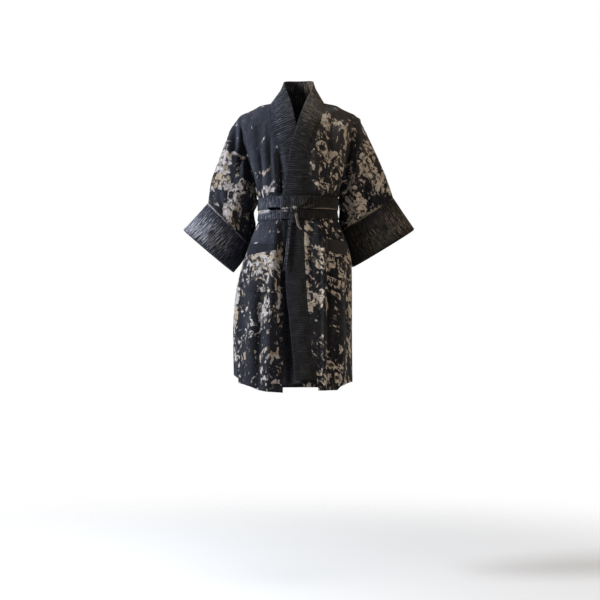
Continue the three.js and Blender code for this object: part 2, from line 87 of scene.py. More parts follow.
def makeRoom():
    # The room is plain white to look at and a dim even light to everything in it
    world = bpy.data.worlds.new("room")
    world.use_nodes = True
    scene.world = world
    nodes, links = world.node_tree.nodes, world.node_tree.links
    nodes.clear()
    seen, dim = nodes.new("ShaderNodeBackground"), nodes.new("ShaderNodeBackground")
    seen.inputs["Strength"].default_value = room["backdrop"]
    seen.inputs["Color"].default_value = (1, 1, 1, 1)
    dim.inputs["Strength"].default_value = room["ambient"]
    dim.inputs["Color"].default_value = (*room["ambientColour"], 1)
    path, choose, out = (nodes.new(kind) for kind in (
        "ShaderNodeLightPath", "ShaderNodeMixShader", "ShaderNodeOutputWorld"))
    links.new(path.outputs["Is Camera Ray"], choose.inputs["Fac"])
    links.new(dim.outputs[0], choose.inputs[1])
    links.new(seen.outputs[0], choose.inputs[2])
    links.new(choose.outputs[0], out.inputs["Surface"])


def makeFloor():
    # A pale disc under the robe that fades out towards its rim
    mesh = bpy.data.meshes.new("floor")
    reach = room["floorRadius"]
    mesh.from_pydata([(-reach, -reach, 0), (reach, -reach, 0), (reach, reach, 0), (-reach, reach, 0)], [],
                     [(0, 1, 2, 3)])
    floor = bpy.data.objects.new("floor", mesh)
    bpy.context.collection.objects.link(floor)
    floor.location.z = room["floorZ"]
    pale = bpy.data.materials.new("paleFloor")
    pale.use_nodes = True
    nodes, links = pale.node_tree.nodes, pale.node_tree.links
    surface = nodes["Principled BSDF"]
    surface.inputs["Base Color"].default_value = (*room["floorColour"], 1)
    surface.inputs["Roughness"].default_value = 0.7
    surface.inputs["Specular IOR Level"].default_value = 0.1
    where, length, fade = (nodes.new(kind) for kind in (
        "ShaderNodeTexCoord", "ShaderNodeVectorMath", "ShaderNodeMapRange"))
    length.operation = "LENGTH"
    fade.interpolation_type = "SMOOTHERSTEP"
    fade.inputs["From Min"].default_value = reach
    fade.inputs["From Max"].default_value = reach * room["floorSolid"]
    links.new(where.outputs["Object"], length.inputs[0])
    links.new(length.outputs["Value"], fade.inputs["Value"])
    links.new(fade.outputs["Result"], surface.inputs["Alpha"])
    mesh.materials.append(pale)


makeLamps()
makeRoom()
makeFloor()
print("camera, lamps and floor ready")


def mix(a, b, t):
    # The value that lies a share t of the way from a to b
    return a + (b - a) * t


def ease(t):
    # 0 up to t = 0 and 1 from t = 1, with a smooth cubic rise between them
    c = np.clip(t, 0.0, 1.0)
    return c * c * (3 - 2 * c)


def bell(value, middle, reach):
    # 1 at the middle, falling away smoothly to both sides over the reach
    return np.exp(-((value - middle) / reach) ** 2)


def along(*fields):
    # Fields put side by side as the coordinates of points
    return np.stack(np.broadcast_arrays(*fields), axis=-1)


def hermite(a, b, slopeA, slopeB, t):
    # Cubic from a to b that leaves and arrives with the given slopes
    return (a * (1 + 2 * t) * (1 - t) ** 2 + b * (3 - 2 * t) * t * t
            + slopeA * t * (1 - t) ** 2 - slopeB * (1 - t) * t * t)


def innerSlopes(rise):
    # Harmonic mean of the rises on both sides of each inner point, or 0 at a peak; the end ones as they are
    before, after = rise[:-1], rise[1:]
    same = before * after > 0
    inner = np.where(same, 2 * before * after / np.where(same, before + after, 1), 0)
    return np.concatenate([rise[:1], inner, rise[-1:]])


def through(places, values, at):
    # Smooth curve through a table that never overshoots
    places, values = np.asarray(places, float), np.asarray(values, float)
    if places[0] > places[-1]:
        places, values = places[::-1], values[::-1]
    at = np.clip(at, places[0], places[-1])
    span = np.diff(places)
    slope = innerSlopes(np.diff(values) / span)
    i = np.clip(np.searchsorted(places, at, side="right") - 1, 0, len(span) - 1)
    t = (at - places[i]) / span[i]
    return hermite(values[i], values[i + 1], span[i] * slope[i], span[i] * slope[i + 1], t)


def wander(x, y, seed, size):
    # Soft unevenness between -1 and 1: seven crossing waves of about one size, in seeded directions
    rng = np.random.default_rng(seed)
    waves, level, total = 7, 4.2, 0
    turns, stretches = rng.uniform(0, math.pi, waves), rng.uniform(0.7, 1.6, waves)
    for turn, stretch, start in zip(turns, stretches, rng.uniform(0, 6.3, waves)):
        run = x * math.cos(turn) + y * math.sin(turn)
        total = total + np.sin(run * 2 * math.pi / (size * stretch) + start)
    return total / level


def creases(across, down, rows):
    # Sum of soft ridges (height above 0) and troughs (below 0). Each runs from one place to another with a
    # sideways bow, is a bell across its line and dies away towards both ends
    total = np.zeros(np.broadcast(across, down).shape)
    for x0, y0, x1, y1, bow, width, height in rows:
        run = math.hypot(x1 - x0, y1 - y0)
        ax, ay = (x1 - x0) / run, (y1 - y0) / run
        t = ((across - x0) * ax + (down - y0) * ay) / run
        inside = np.clip(t, 0, 1)
        aside = (across - x0) * -ay + (down - y0) * ax - bow * 4 * inside * (1 - inside)
        beyond = (t - inside) * run
        taper = np.sin(math.pi * np.clip(0.06 + 0.88 * inside, 0, 1)) ** 0.7
        wide = width * (0.8 + 0.5 * inside)
        total += height * taper * np.exp(-(aside ** 2 + beyond ** 2) / wide ** 2)
    return total


# The figure that the robe is worn on: half widths and depths of its sections by depth, and its shoulder line
figure = dict(
    power=2.3, shoulderRound=78, shoulderFade=262, backNeckDrop=19,
    drop=[0, 40, 90, 140, 200, 262, 300, 335, 372, 415, 463, 510, 620, 716, 912],
    right=[212, 194, 182, 170, 153, 134, 123, 122, 126, 144, 161, 177, 200, 206, 203],
    left=[204, 186, 172, 160, 149, 134, 121, 119, 125, 143, 160, 168, 169, 169, 171],
    front=[104, 106, 112, 118, 117, 106, 99, 98, 101, 110, 119, 126, 133, 137, 140],
    back=[100, 104, 110, 112, 106, 97, 93, 93, 98, 112, 125, 131, 134, 136, 138],
    lineOut=[0, 84, 118, 140, 182, 220], lineZ=[26, 0, -7, -19, -38, -62],
)
seams = dict(
    armholeBottom=262,
    armholeDrop=[0, 40, 100, 160, 215, 262],
    armhole=dict(right=[-182, -178, -169, -155, -142, -134], left=[178, 170, 159, 149, 140, 134]),
    sideDrop=[262, 420, 480, 540, 620, 912],
    sideForward=dict(right=[0, 0, 24, 58, 86, 84], left=[0, 0, 0, 0, 0, 0]),
    sideGap=0.34,
    bandDrop=dict(right=[0, 33, 84, 142, 200, 292, 380, 912],
                  left=[0, 52, 122, 178, 250, 310, 415, 566, 664, 742, 810, 870, 912]),
    band=dict(right=[-87, -86, -80, -66, -57, -46, -49, -49],
              left=[81, 74, 54, 38, 29, 24, 17, 24, 31, 36, 47, 58, 62]),
    bandGap=0.5,
    wrapStep=3.2, wrapAcross=(60, 14), wrapDown=(34, 50),
)
hems = dict(
    level=895,
    back=dict(x=[-205, -150, -60, 60, 170], drop=[856, 884, 905, 905, 880]),
    right=dict(x=[-200, -150, -120, -50], drop=[878, 888, 900, 907]),
    left=dict(x=[56, 118, 130, 172], drop=[900, 900, 888, 877]),
)


def body(name, drop):
    # A half width or depth of the figure at a depth below the shoulder line
    return through(figure["drop"], figure[name], drop)


def halfWidth(side, drop):
    # Half width on one side, which is told by the sign of any number
    return np.where(side < 0, body("right", drop), body("left", drop))


def shoulderZ(x):
    # Height of the shoulder line, the same on both sides
    return through(figure["lineOut"], figure["lineZ"], np.abs(x))


def armholeX(side, drop):
    # Place across of the armhole line
    return through(seams["armholeDrop"], seams["armhole"][side], drop)


def bandX(side, drop):
    # Place across of the seam between the neckband and a front
    return through(seams["bandDrop"][side], seams["band"][side], drop)


def dropAt(x, z):
    # Depth below the shoulder line of a place given by its height, as the sections tilt with the shoulder
    drop = (shoulderZ(x) - z) / (1 + shoulderZ(x) / figure["shoulderFade"])
    return np.where(drop < figure["shoulderFade"], drop, -z)


def angleAt(x, drop):
    # Angle round the section of a place across, with the power of bodyPoint undone
    share = np.minimum(1, np.abs(x) / halfWidth(x, drop))
    return np.sign(x) * np.arcsin(share ** (figure["power"] / 2))


def bodyPoint(angle, drop):
    # Squared ellipse through the half widths and depths at each depth, tilted with the shoulder line and rolled
    # over it by a quarter circle. Angle 0 is the middle of the front, growing to the wearer's left
    across = np.sign(np.sin(angle)) * np.abs(np.sin(angle)) ** (2 / figure["power"])
    x = halfWidth(across, drop) * across
    depth = np.where(np.cos(angle) > 0, -body("front", drop), body("back", drop))
    roll = np.sqrt(np.clip(1 - (1 - np.minimum(drop / figure["shoulderRound"], 1)) ** 2, 0, 1))
    y = depth * np.abs(np.cos(angle)) ** (2 / figure["power"]) * roll
    return along(x, y, -drop + shoulderZ(x) * np.maximum(0, 1 - drop / figure["shoulderFade"]))


def raised(angle, drop, height):
    # Body point moved straight out from the section's outline by a height
    step = 0.02
    a, b = bodyPoint(angle - step, drop), bodyPoint(angle + step, drop)
    out = along(b[..., 1] - a[..., 1], a[..., 0] - b[..., 0], np.zeros(a.shape[:-1]))
    out /= np.linalg.norm(out, axis=-1, keepdims=True) + tiny
    return bodyPoint(angle, drop) + out * np.asarray(height)[..., None]


def rowDrop(v, start=0.001):
    # The first rows roll over the shoulder in even steps of turn, the rest run evenly down to the hem
    rollRows, radius = 0.16, figure["shoulderRound"]
    first = np.arccos(1 - start / radius)
    over = radius * (1 - np.cos(mix(first, math.pi / 2, np.minimum(v / rollRows, 1))))
    return np.where(v < rollRows, over, mix(radius, hems["level"], (v - rollRows) / (1 - rollRows)))


def sideAngle(side, drop, facing):
    # Outer edge of a panel: the armhole, then the side seam, drawn back by a gap. Facing -1 is a front
    line = np.abs(angleAt(armholeX(side, drop), drop))
    upper = line if facing < 0 else math.pi - line
    wide = body(side, drop)
    lower = math.pi / 2 - through(seams["sideDrop"], seams["sideForward"][side], drop) / wide
    line = np.where(drop < seams["armholeBottom"], upper, lower)
    return sides[side] * (line + facing * seams["sideGap"] / wide)


def linkPiece(name, points, quads, uv, density, material):
    mesh = bpy.data.meshes.new(name)
    mesh.vertices.add(len(points))
    mesh.vertices.foreach_set("co", (points * metre).astype(np.float32).ravel())
    mesh.loops.add(quads.size)
    mesh.loops.foreach_set("vertex_index", quads.ravel().astype(np.int32))
    mesh.polygons.add(len(quads))
    mesh.polygons.foreach_set("loop_start", np.arange(0, quads.size, 4, dtype=np.int32))
    mesh.update(calc_edges=True)
    mesh.uv_layers.new(name="cloth").data.foreach_set("uv", (uv * metre).astype(np.float32).ravel())
    mesh.attributes.new("mottle", "FLOAT", "POINT").data.foreach_set("value", density.astype(np.float32))
    mesh.polygons.foreach_set("use_smooth", np.ones(len(quads), bool))
    mesh.materials.append(material)
    piece = bpy.data.objects.new(name, mesh)
    bpy.context.collection.objects.link(piece)
    return piece


def flipIfInside(points, quads, uv):
    # A closed mesh whose signed volume is negative has its faces turned round
    p = points[quads]
    turned = np.einsum("ij,ij->i", p[:, 0], np.cross(p[:, 1], p[:, 2]) + np.cross(p[:, 2], p[:, 3]))
    if turned.sum() < 0:
        return quads[:, ::-1].copy(), uv[:, ::-1].copy()
    return quads, uv


def lengths(middle, axis):
    # Length along a grid's rows (axis 1) or columns (axis 0) up to each of its points
    first = middle[:, :1] if axis else middle[:1]
    return np.cumsum(np.linalg.norm(np.diff(middle, axis=axis, prepend=first), axis=-1), axis=axis)


def centred(places):
    # Places along each row, counted from its middle column
    return places - places[:, places.shape[1] // 2][:, None]


def tubeWeave(middle):
    # Place on the cloth of a tube with slanted rings: around it square to its outer edge, and along that edge
    half = middle.shape[1] // 2
    outer = middle[-1, half] - middle[0, half]
    outer = outer / np.linalg.norm(outer)
    wrap = np.concatenate([middle, middle[:, :1]], axis=1)
    step = np.diff(wrap, axis=1, prepend=wrap[:, :1])
    around = np.sqrt(np.maximum((step ** 2).sum(axis=-1) - (step @ outer) ** 2, 0))
    around = np.cumsum(around, axis=1)
    return around - around[:, half][:, None], wrap @ outer


def uprightWeave(middle):
    # Place across the cloth of a panel, along each row from the upright line through the middle of the robe
    return centred(lengths(middle, 1)) + middle[:, middle.shape[1] // 2, :1]


def gridSteps(middle, closed):
    # Steps across and down a grid at each of its points, from its two neighbours
    if closed:
        ring = np.concatenate([middle[:, -1:], middle, middle[:, :1]], axis=1)
        across = ring[:, 2:] - ring[:, :-2]
    else:
        across = np.gradient(middle, axis=1)
    return across, np.gradient(middle, axis=0)


def gridNormal(across, down):
    # Direction square to both steps
    normal = np.cross(across, down)
    return normal / (np.linalg.norm(normal, axis=-1, keepdims=True) + tiny)


def cellCorners(rows, columns, closed):
    # Rows and columns of the four corners of each cell of a grid. A closed one goes on past its last column
    j, i = np.meshgrid(np.arange(rows - 1), np.arange(columns if closed else columns - 1), indexing="ij")
    j, i = j.ravel(), i.ravel()
    return [(j, i), (j, i + 1), (j + 1, i + 1), (j + 1, i)]


def freeEdges(rows, columns, closed):
    # Rows and columns of the points along each free edge: both ends of a tube, or once round a panel
    r, c = rows - 1, columns - 1
    if closed:
        ring = np.arange(columns + 1)
        return [(0 * ring, ring), (0 * ring + r, ring[::-1])]
    return [(np.concatenate([np.zeros(c, int), np.arange(r), np.full(c, r), np.arange(r, 0, -1), [0]]),
             np.concatenate([np.arange(c), np.full(r, c), np.arange(c, 0, -1), np.zeros(r, int), [0]]))]


def clothWall(name, middle, thickness, material, closed=False, density=0.0, turnWeave=False, place=(0, 0),
              across=None, down=None):
    # Cloth of one thickness about a grid of middle points: an outer and an inner face half a thickness to each
    # side along the grid's normal, joined by a rounded rim at every free edge
    rows, columns = middle.shape[:2]
    total, half, rimShare = rows * columns, thickness / 2, 0.7
    du, dv = gridSteps(middle, closed)
    normal = gridNormal(du, dv)
    outer, inner = middle + normal * half, middle - normal * half

    wrap = np.concatenate([middle, middle[:, :1]], axis=1) if closed else middle
    u = centred(lengths(wrap, 1)) if across is None else across
    v = lengths(wrap, 0) if down is None else down
    flat = np.stack([v, u] if turnWeave else [u, v], axis=-1) + np.array(place)

    corners = cellCorners(rows, columns, closed)
    face = np.stack([row * columns + column % columns for row, column in corners], axis=1)
    faceUv = np.stack([flat[row, column] for row, column in corners], axis=1)
    quads, uvs = [face, face[:, ::-1] + total], [faceUv, faceUv[:, ::-1]]

    spread = np.broadcast_to(density, (rows, columns))
    rimPoints, rimDensity, count = [], [], 2 * total
    for edgeRow, edgeColumn in freeEdges(rows, columns, closed):
        row, column = edgeRow[:-1], edgeColumn[:-1] % columns
        outward = (1 * (row == rows - 1) - (row == 0))[:, None] * dv[row, column]
        if not closed:
            outward = outward + (1 * (column == columns - 1) - (column == 0))[:, None] * du[row, column]
        outward = outward / (np.linalg.norm(outward, axis=-1, keepdims=True) + tiny)
        rimPoints.append(middle[row, column] + outward * half * rimShare)
        rimDensity.append(spread[row, column])
        here, size = edgeRow * columns + edgeColumn % columns, len(row)
        rim, rimNext = count + np.arange(size), count + (np.arange(size) + 1) % size
        a, b = here[:-1], here[1:]
        ua, ub = flat[edgeRow, edgeColumn][:-1], flat[edgeRow, edgeColumn][1:]
        quads += [np.stack([b, a, rim, rimNext], axis=1),
                  np.stack([rimNext, rim, a + total, b + total], axis=1)]
        uvs += [np.stack([ub, ua, ua, ub], axis=1)] * 2
        count += size
    points = np.concatenate([outer.reshape(-1, 3), inner.reshape(-1, 3)] + rimPoints)
    quads, uvs = flipIfInside(points, np.concatenate(quads), np.concatenate(uvs))
    spread = np.concatenate([spread.ravel(), spread.ravel()] + rimDensity)
    return linkPiece(name, points, quads, uvs, spread, material)


# In each piece's dictionary: cells is the grid across and down, flat the cut size in metres (width, length) and
# area the cloth in it in square metres. A fold is x, depth, to x, depth, sideways bow, width and height. Light
# cloth gathers at x, depth, with a half width and half depth, by an amount
mottleBase = -0.45
fronts = dict(
    thickness=1.6, foldDepth=1.6, seamEase=1.25,
    right=dict(
        patternAt=(0, 0), cells=(118, 230), flat=(0.20, 0.91), area=0.145, seed=11,
        folds=[(-70, 388, -97, 930, 0, 15, 11), (-50, 384, -58, 930, 0, 11, -5),
            (-31, 388, -33, 930, 0, 17, -14), (-12, 700, -14, 930, 0, 16, -8), (-160, 92, -131, 286, 0, 11, 8),
            (-142, 40, -150, 150, 0, 9, 4), (-120, 470, -88, 556, 4, 9, -4.5),
            (-132, 555, -150, 930, 4, 20, 6.5), (-116, 600, -124, 930, 0, 11, -4.5),
            (-176, 560, -172, 930, -4, 15, -4.5), (-150, 385, -158, 470, 0, 9, 3),
            (-88, 376, -92, 430, 0, 8, 2.6), (-110, 378, -120, 440, 3, 7, -3),
            (-134, 50, -129, 262, 3, 9, 4.2), (-119, 156, -115, 298, 0, 5, -4.6),
            (-152, 120, -132, 240, 3, 9, -3.5), (-104, 70, -95, 298, 2, 8, 3.4),
            (-88, 110, -82, 240, 2, 7, -3), (-80, 164, -61, 306, 0, 7, 3.6),
            (-64, 160, -51, 308, 0, 6.5, -8.5)],
        light=[(-96, 280, 34, 14, 1.9), (-124, 130, 100, 110, -1.9), (-80, 292, 20, 30, -0.6),
            (-115, 420, 80, 46, -0.5), (-112, 508, 62, 44, 2.5), (-106, 632, 24, 38, 2.0),
            (-196, 600, 10, 150, 1.8), (-62, 600, 9, 260, 1.3), (-130, 770, 60, 70, 0.3),
            (-130, 870, 60, 36, 0.8)]),
    left=dict(
        patternAt=(900, 370), cells=(118, 230), flat=(0.22, 0.91), area=0.165, seed=12,
        folds=[(152, 92, 131, 286, 0, 11, 8), (75, 400, 81, 930, 0, 8, 8), (91, 430, 96, 930, 2, 9, -6.5),
            (128, 560, 134, 930, 2, 17, 5.5), (112, 640, 116, 930, 0, 9, -3),
            (151, 470, 154, 930, 0, 10, -3.6), (58, 376, 64, 446, 0, 8, 2.6), (100, 376, 112, 452, 3, 9, 3.2),
            (122, 378, 134, 440, 0, 7, -2.6), (40, 392, 44, 620, 2, 10, -3), (146, 26, 118, 92, -10, 8, 5.5),
            (132, 44, 108, 150, -9, 9, 5.2), (112, 40, 96, 190, 8, 8, -4.4), (150, 120, 128, 236, 4, 8, -4.5),
            (134, 110, 112, 270, 5, 10, 4.2), (92, 172, 76, 300, 3, 9, 3.4), (108, 220, 98, 304, 0, 7, -3),
            (62, 236, 52, 300, 0, 6, 2.2)],
        light=[(92, 66, 60, 24, 1.5), (100, 112, 50, 20, 0.9), (76, 166, 46, 14, 2.1), (112, 194, 40, 22, 2.0),
            (78, 262, 44, 14, 1.7), (84, 396, 60, 30, 0.5), (112, 512, 60, 50, 1.5), (25, 480, 6, 110, 2.2),
            (31, 590, 6, 60, 1.8), (160, 640, 9, 220, 1.6), (70, 630, 40, 40, 1.2), (96, 830, 60, 60, 1.2),
            (112, 700, 40, 60, -0.6)]),
)
backPanel = dict(
    thickness=1.6, foldDepth=1.2, patternAt=(410, 130), cells=(196, 210), flat=(0.54, 0.91), area=0.43, seed=21,
    neckColumns=(0.28, 0.72),
    folds=[(-158, 92, -131, 280, 0, 12, 7), (152, 92, 131, 280, 0, 12, 7), (-122, 410, -134, 930, 6, 22, 8),
        (-92, 440, -88, 930, 0, 14, -5), (-36, 395, -30, 930, -6, 20, -7), (2, 420, 8, 930, 4, 15, 5),
        (48, 392, 56, 930, 5, 20, 8), (88, 470, 82, 930, 0, 14, -4.5), (126, 430, 130, 930, -4, 18, 6),
        (-60, 376, -66, 480, 0, 8, 3.4), (-8, 374, -4, 460, 0, 7, 3), (74, 376, 80, 470, 0, 8, 3),
        (26, 376, 22, 440, 0, 6, -2.6), (-96, 378, -100, 452, 0, 7, -2.8), (-128, 60, -96, 262, 8, 13, 5.5),
        (-70, 130, -60, 296, 0, 12, -4), (-104, 150, -84, 302, 0, 9, 3.5), (126, 50, 98, 250, -8, 13, 5.5),
        (72, 120, 58, 298, 0, 12, -4.4), (104, 160, 88, 300, 0, 9, 3.4), (-24, 120, -18, 290, 4, 14, 4),
        (20, 160, 22, 298, 0, 10, -3), (0, 224, 2, 302, 0, 6, 2.4), (-44, 240, -40, 302, 0, 6, -2.4),
        (44, 236, 42, 302, 0, 6, 2.4)],
    light=[(-90, 90, 70, 50, 1.2), (70, 150, 66, 60, 1.3), (0, 240, 90, 30, -0.7), (-100, 520, 70, 90, 1.4),
        (-199, 590, 12, 120, 3.6), (60, 470, 60, 60, 1.2), (20, 700, 60, 110, -0.6), (120, 740, 50, 110, 1.2),
        (-60, 830, 80, 60, 0.9)])
# Folds fade out at the belt, the shoulder line and the sides. Bloused cloth over and under the belt is depth,
# half depth, height, and the overhang is kept at the sides. Small unevenness is size, stretch down, amount
fading = dict(beltMiddle=334, beltReach=33, beltFade=20, shoulder=44, side=15,
              blouses=[(281, 13, 3.5), (388, 11, 2.8)], overhang=(291, 11, 4.6),
              small=[(60, 1, 0.9), (24, 1, 0.45), (38, 0.3, 0.5)])


def spots(x, drop, rows):
    # Sum of soft round areas, each with its own reach to the sides and down
    return mottleBase + sum(amount * np.exp(-((x - x0) / wide) ** 2 - ((drop - drop0) / tall) ** 2)
                            for x0, drop0, wide, tall, amount in rows)


def panelLift(x, drop, panel, depth):
    # Folds and small unevenness of a body panel: nothing under the belt, at the shoulder line or at the sides
    aroundBelt = ease((np.abs(drop - fading["beltMiddle"]) - fading["beltReach"]) / fading["beltFade"])
    armhole = np.where(x < 0, -armholeX("right", drop), armholeX("left", drop))
    limit = np.where(drop < seams["armholeBottom"], armhole, halfWidth(np.where(x < 0, -1, 1), drop))
    fromSide = (limit - np.abs(x)) / fading["side"]
    small = sum(amount * wander(x, drop * down, panel["seed"] + k, size)
                for k, (size, down, amount) in enumerate(fading["small"]))
    blouse = sum(height * bell(drop, middle, reach) for middle, reach, height in fading["blouses"])
    middle, reach, height = fading["overhang"]
    blouse = blouse * ease(fromSide + 0.6) + height * bell(drop, middle, reach) * (1 - ease(fromSide))
    folds = depth * creases(x, drop, panel["folds"])
    return (folds + small) * aroundBelt * ease(drop / fading["shoulder"]) * ease(fromSide) + blouse


def wrapLift(x, drop, side):
    # The left front stands off by a step where the right one lies under it
    if side == "right":
        return np.zeros(np.shape(x))
    (x0, across), (drop0, down) = seams["wrapAcross"], seams["wrapDown"]
    return seams["wrapStep"] * (1 - ease((x - x0) / across)) * ease((drop - drop0) / down)


def frontLift(x, drop, side):
    # How far a front stands off the body: its folds, its wrap and the hollow between the turns of the belt
    x0, drop0, wide, tall, deep = belt["hollow"]
    hollow = -deep * np.exp(-((x - x0) / wide) ** 4 - ((drop - drop0) / tall) ** 4)
    return hollow + wrapLift(x, drop, side) + panelLift(x, drop, fronts[side], fronts["foldDepth"])


def frontAt(x, drop, side):
    # Point of a front's cloth at a place across and a depth
    return raised(angleAt(x, drop), drop, frontLift(x, drop, side))


def hemShift(nominal, x, panel):
    # How much deeper a row lies than its nominal depth, growing downwards until the last row is the hem's curve
    hem, first = hems[panel], 0.4
    v = np.clip((nominal - figure["shoulderRound"]) / (hems["level"] - figure["shoulderRound"]), 0, 1)
    return (through(hem["x"], hem["drop"], x) - hems["level"]) * ease((v - first) / (1 - first))


def frontSurface(side, u, v):
    # Columns from the neckband's seam (u = 0) round to the side (u = 1), rows from the shoulder down to the hem
    nominal = rowDrop(v)
    seam = bandX(side, nominal) + sides[side] * seams["bandGap"]
    angle = mix(angleAt(seam, nominal), sideAngle(side, nominal, -1), u ** fronts["seamEase"])
    x = bodyPoint(angle, nominal)[..., 0]
    drop = nominal + hemShift(nominal, x, side)
    return raised(angle, drop, frontLift(x, drop, side)), x, drop


def neckHollow(x):
    # Depth of the back's neck curve below the shoulder line
    reach = np.where(x < 0, seams["band"]["right"][0], seams["band"]["left"][0])
    return np.maximum(0.001, figure["backNeckDrop"] * (1 - np.abs(x / reach) ** 3.2))


def backSurface(u, v):
    # Columns from the wearer's right side round to the left, rows from the shoulder down to the hem. The middle
    # columns leave from the hollow of the neck and even out lower down
    neckRight, neckLeft = (seams["band"][side][0] for side in sides)
    outerRight, outerLeft = (seams["armhole"][side][0] for side in sides)
    start, end = backPanel["neckColumns"]
    middle = np.clip((u - start) / (end - start), 0, 1)
    topX = np.where(u < start, mix(outerRight, neckRight, u / start),
                    np.where(u > end, mix(neckLeft, outerLeft, (u - end) / (1 - end)),
                             mix(neckRight, neckLeft, (1 + np.sin(math.pi * (middle - 0.5))) / 2)))
    nominal = rowDrop(v, neckHollow(topX))
    even = mix(sideAngle("right", nominal, 1) + 2 * math.pi, sideAngle("left", nominal, 1), u)
    atTop = ease(np.minimum(np.minimum(u / start, (1 - u) / (1 - end)), 1)) * (1 - ease(v / 0.45))
    angle = mix(even, math.pi - angleAt(topX, nominal), atTop)
    x = bodyPoint(angle, nominal)[..., 0]
    drop = nominal + hemShift(nominal, x, "back")
    return raised(angle, drop, panelLift(x, drop, backPanel, backPanel["foldDepth"])), x, drop


# A row of the neckband: place along the seam, then x, y and z of the free edge and how far it lies on the body
neckband = dict(
    thickness=2.0, neckShare=7 / 32, standFirst=0.014, rowPower=1.35,
    # ribs: slant on each side, where the slant ends and where the level starts, as depth and how gradually
    slant=(0.42, 0.62), slantEnd=(205, 80), levelStart=(-30, 40),
    # light yarns: how many more, from a depth on, how gradually; on the left also over how much across
    light=[(-0.8, 30, 170), (-0.5, 260, 160)], lightLeft=(1.1, 130, 90, 30),
    cells=(26, 520), flat=(0.07, 1.97), area=0.137,
    right=[(-86, 0, 66, 80, 0), (-42, -31, 56, 79, 0), (-12, -46, 28, 72, 0), (0, -44, -8, 58, 0),
        (33, -29, -56, 18, 0.2), (84, -9, -96, -66, 1), (142, 3, -110, -128, 1), (200, 11, -115, -192, 1),
        (292, 18, -102, -290, 1), (380, 14, -102, -380, 1), (884, 17, -139, -876, 1)],
    left=[(-80, 0, 66, 80, 0), (-36, 31, 56, 80, 0), (-10, 47, 28, 74, 0), (0, 46, -6, 60, 0),
        (30, 30, -54, 18, 0.2), (72, 12, -84, -28, 0.8), (122, -6, -104, -84, 1), (178, -24, -113, -152, 1),
        (250, -37, -108, -230, 1), (310, -41, -100, -305, 1), (415, -28, -110, -415, 1),
        (566, -39, -130, -563, 1), (664, -29, -136, -668, 1), (742, -22, -138, -740, 1),
        (810, -15, -139, -810, 1), (866, -10, -140, -868, 1)],
)


def bandSide(side, w, t):
    # From the back of the neck over the shoulder down to the hem: the seam line, then across to the free edge
    rows, neckShare, power = np.array(neckband[side], float), neckband["neckShare"], neckband["rowPower"]
    neck, hem = rows[0, 0], rows[-1, 0]
    turn = neck * (1 - np.sin(math.pi / 2 * np.minimum(t / neckShare, 1)))
    at = np.where(t < neckShare, turn, hem * np.clip((t - neckShare) / (1 - neckShare), 0, 1) ** power)
    free = np.stack([through(rows[:, 0], rows[:, k], at) for k in (1, 2, 3)], axis=-1)
    lies = through(rows[:, 0], rows[:, 4], at)
    neckX = seams["band"][side][0] * (1 - at / neck)
    hollow = neckHollow(neckX)
    onNeck = bodyPoint(math.pi - angleAt(neckX, hollow), hollow)
    drop = np.maximum(at, 0)
    seam = np.where((at < 0)[..., None], onNeck, frontAt(bandX(side, drop), drop, side))
    standing = mix(seam, free, mix(neckband["standFirst"], 1, w)[..., None])
    x, z = standing[..., 0], standing[..., 2]
    lying = frontAt(x, np.maximum(dropAt(x, z), 0.001), side)
    share = np.where(lies > 0, lies * ease(w * 4 + 1 - lies), 0)
    return mix(standing, lying, share[..., None])


def bandSurface(w, s):
    # Also gives how far along the strip's ribs each place is: the length of its middle line, then across to the
    # side along lines that slant up to the neck on the chest and are level below it
    right = s < 0.5
    t = np.abs(2 * s - 1)
    middle = np.where(right[..., None], bandSide("right", w, t), bandSide("left", w, t))
    line = middle[:, middle.shape[1] // 2]
    length = lengths(line, 0)[:, None]
    aside, above = middle[..., 0] - line[:, :1], middle[..., 2] - line[:, 2:]
    depth = -line[:, 2:]
    (slantEnd, slantFade), (levelStart, levelFade) = neckband["slantEnd"], neckband["levelStart"]
    slant = np.where(right, -neckband["slant"][0], neckband["slant"][1]) * ease((slantEnd - depth) / slantFade)
    level = np.where(right, 1, -1) * ease((depth - levelStart) / levelFade)
    return middle, length + level * (above + slant * aside)


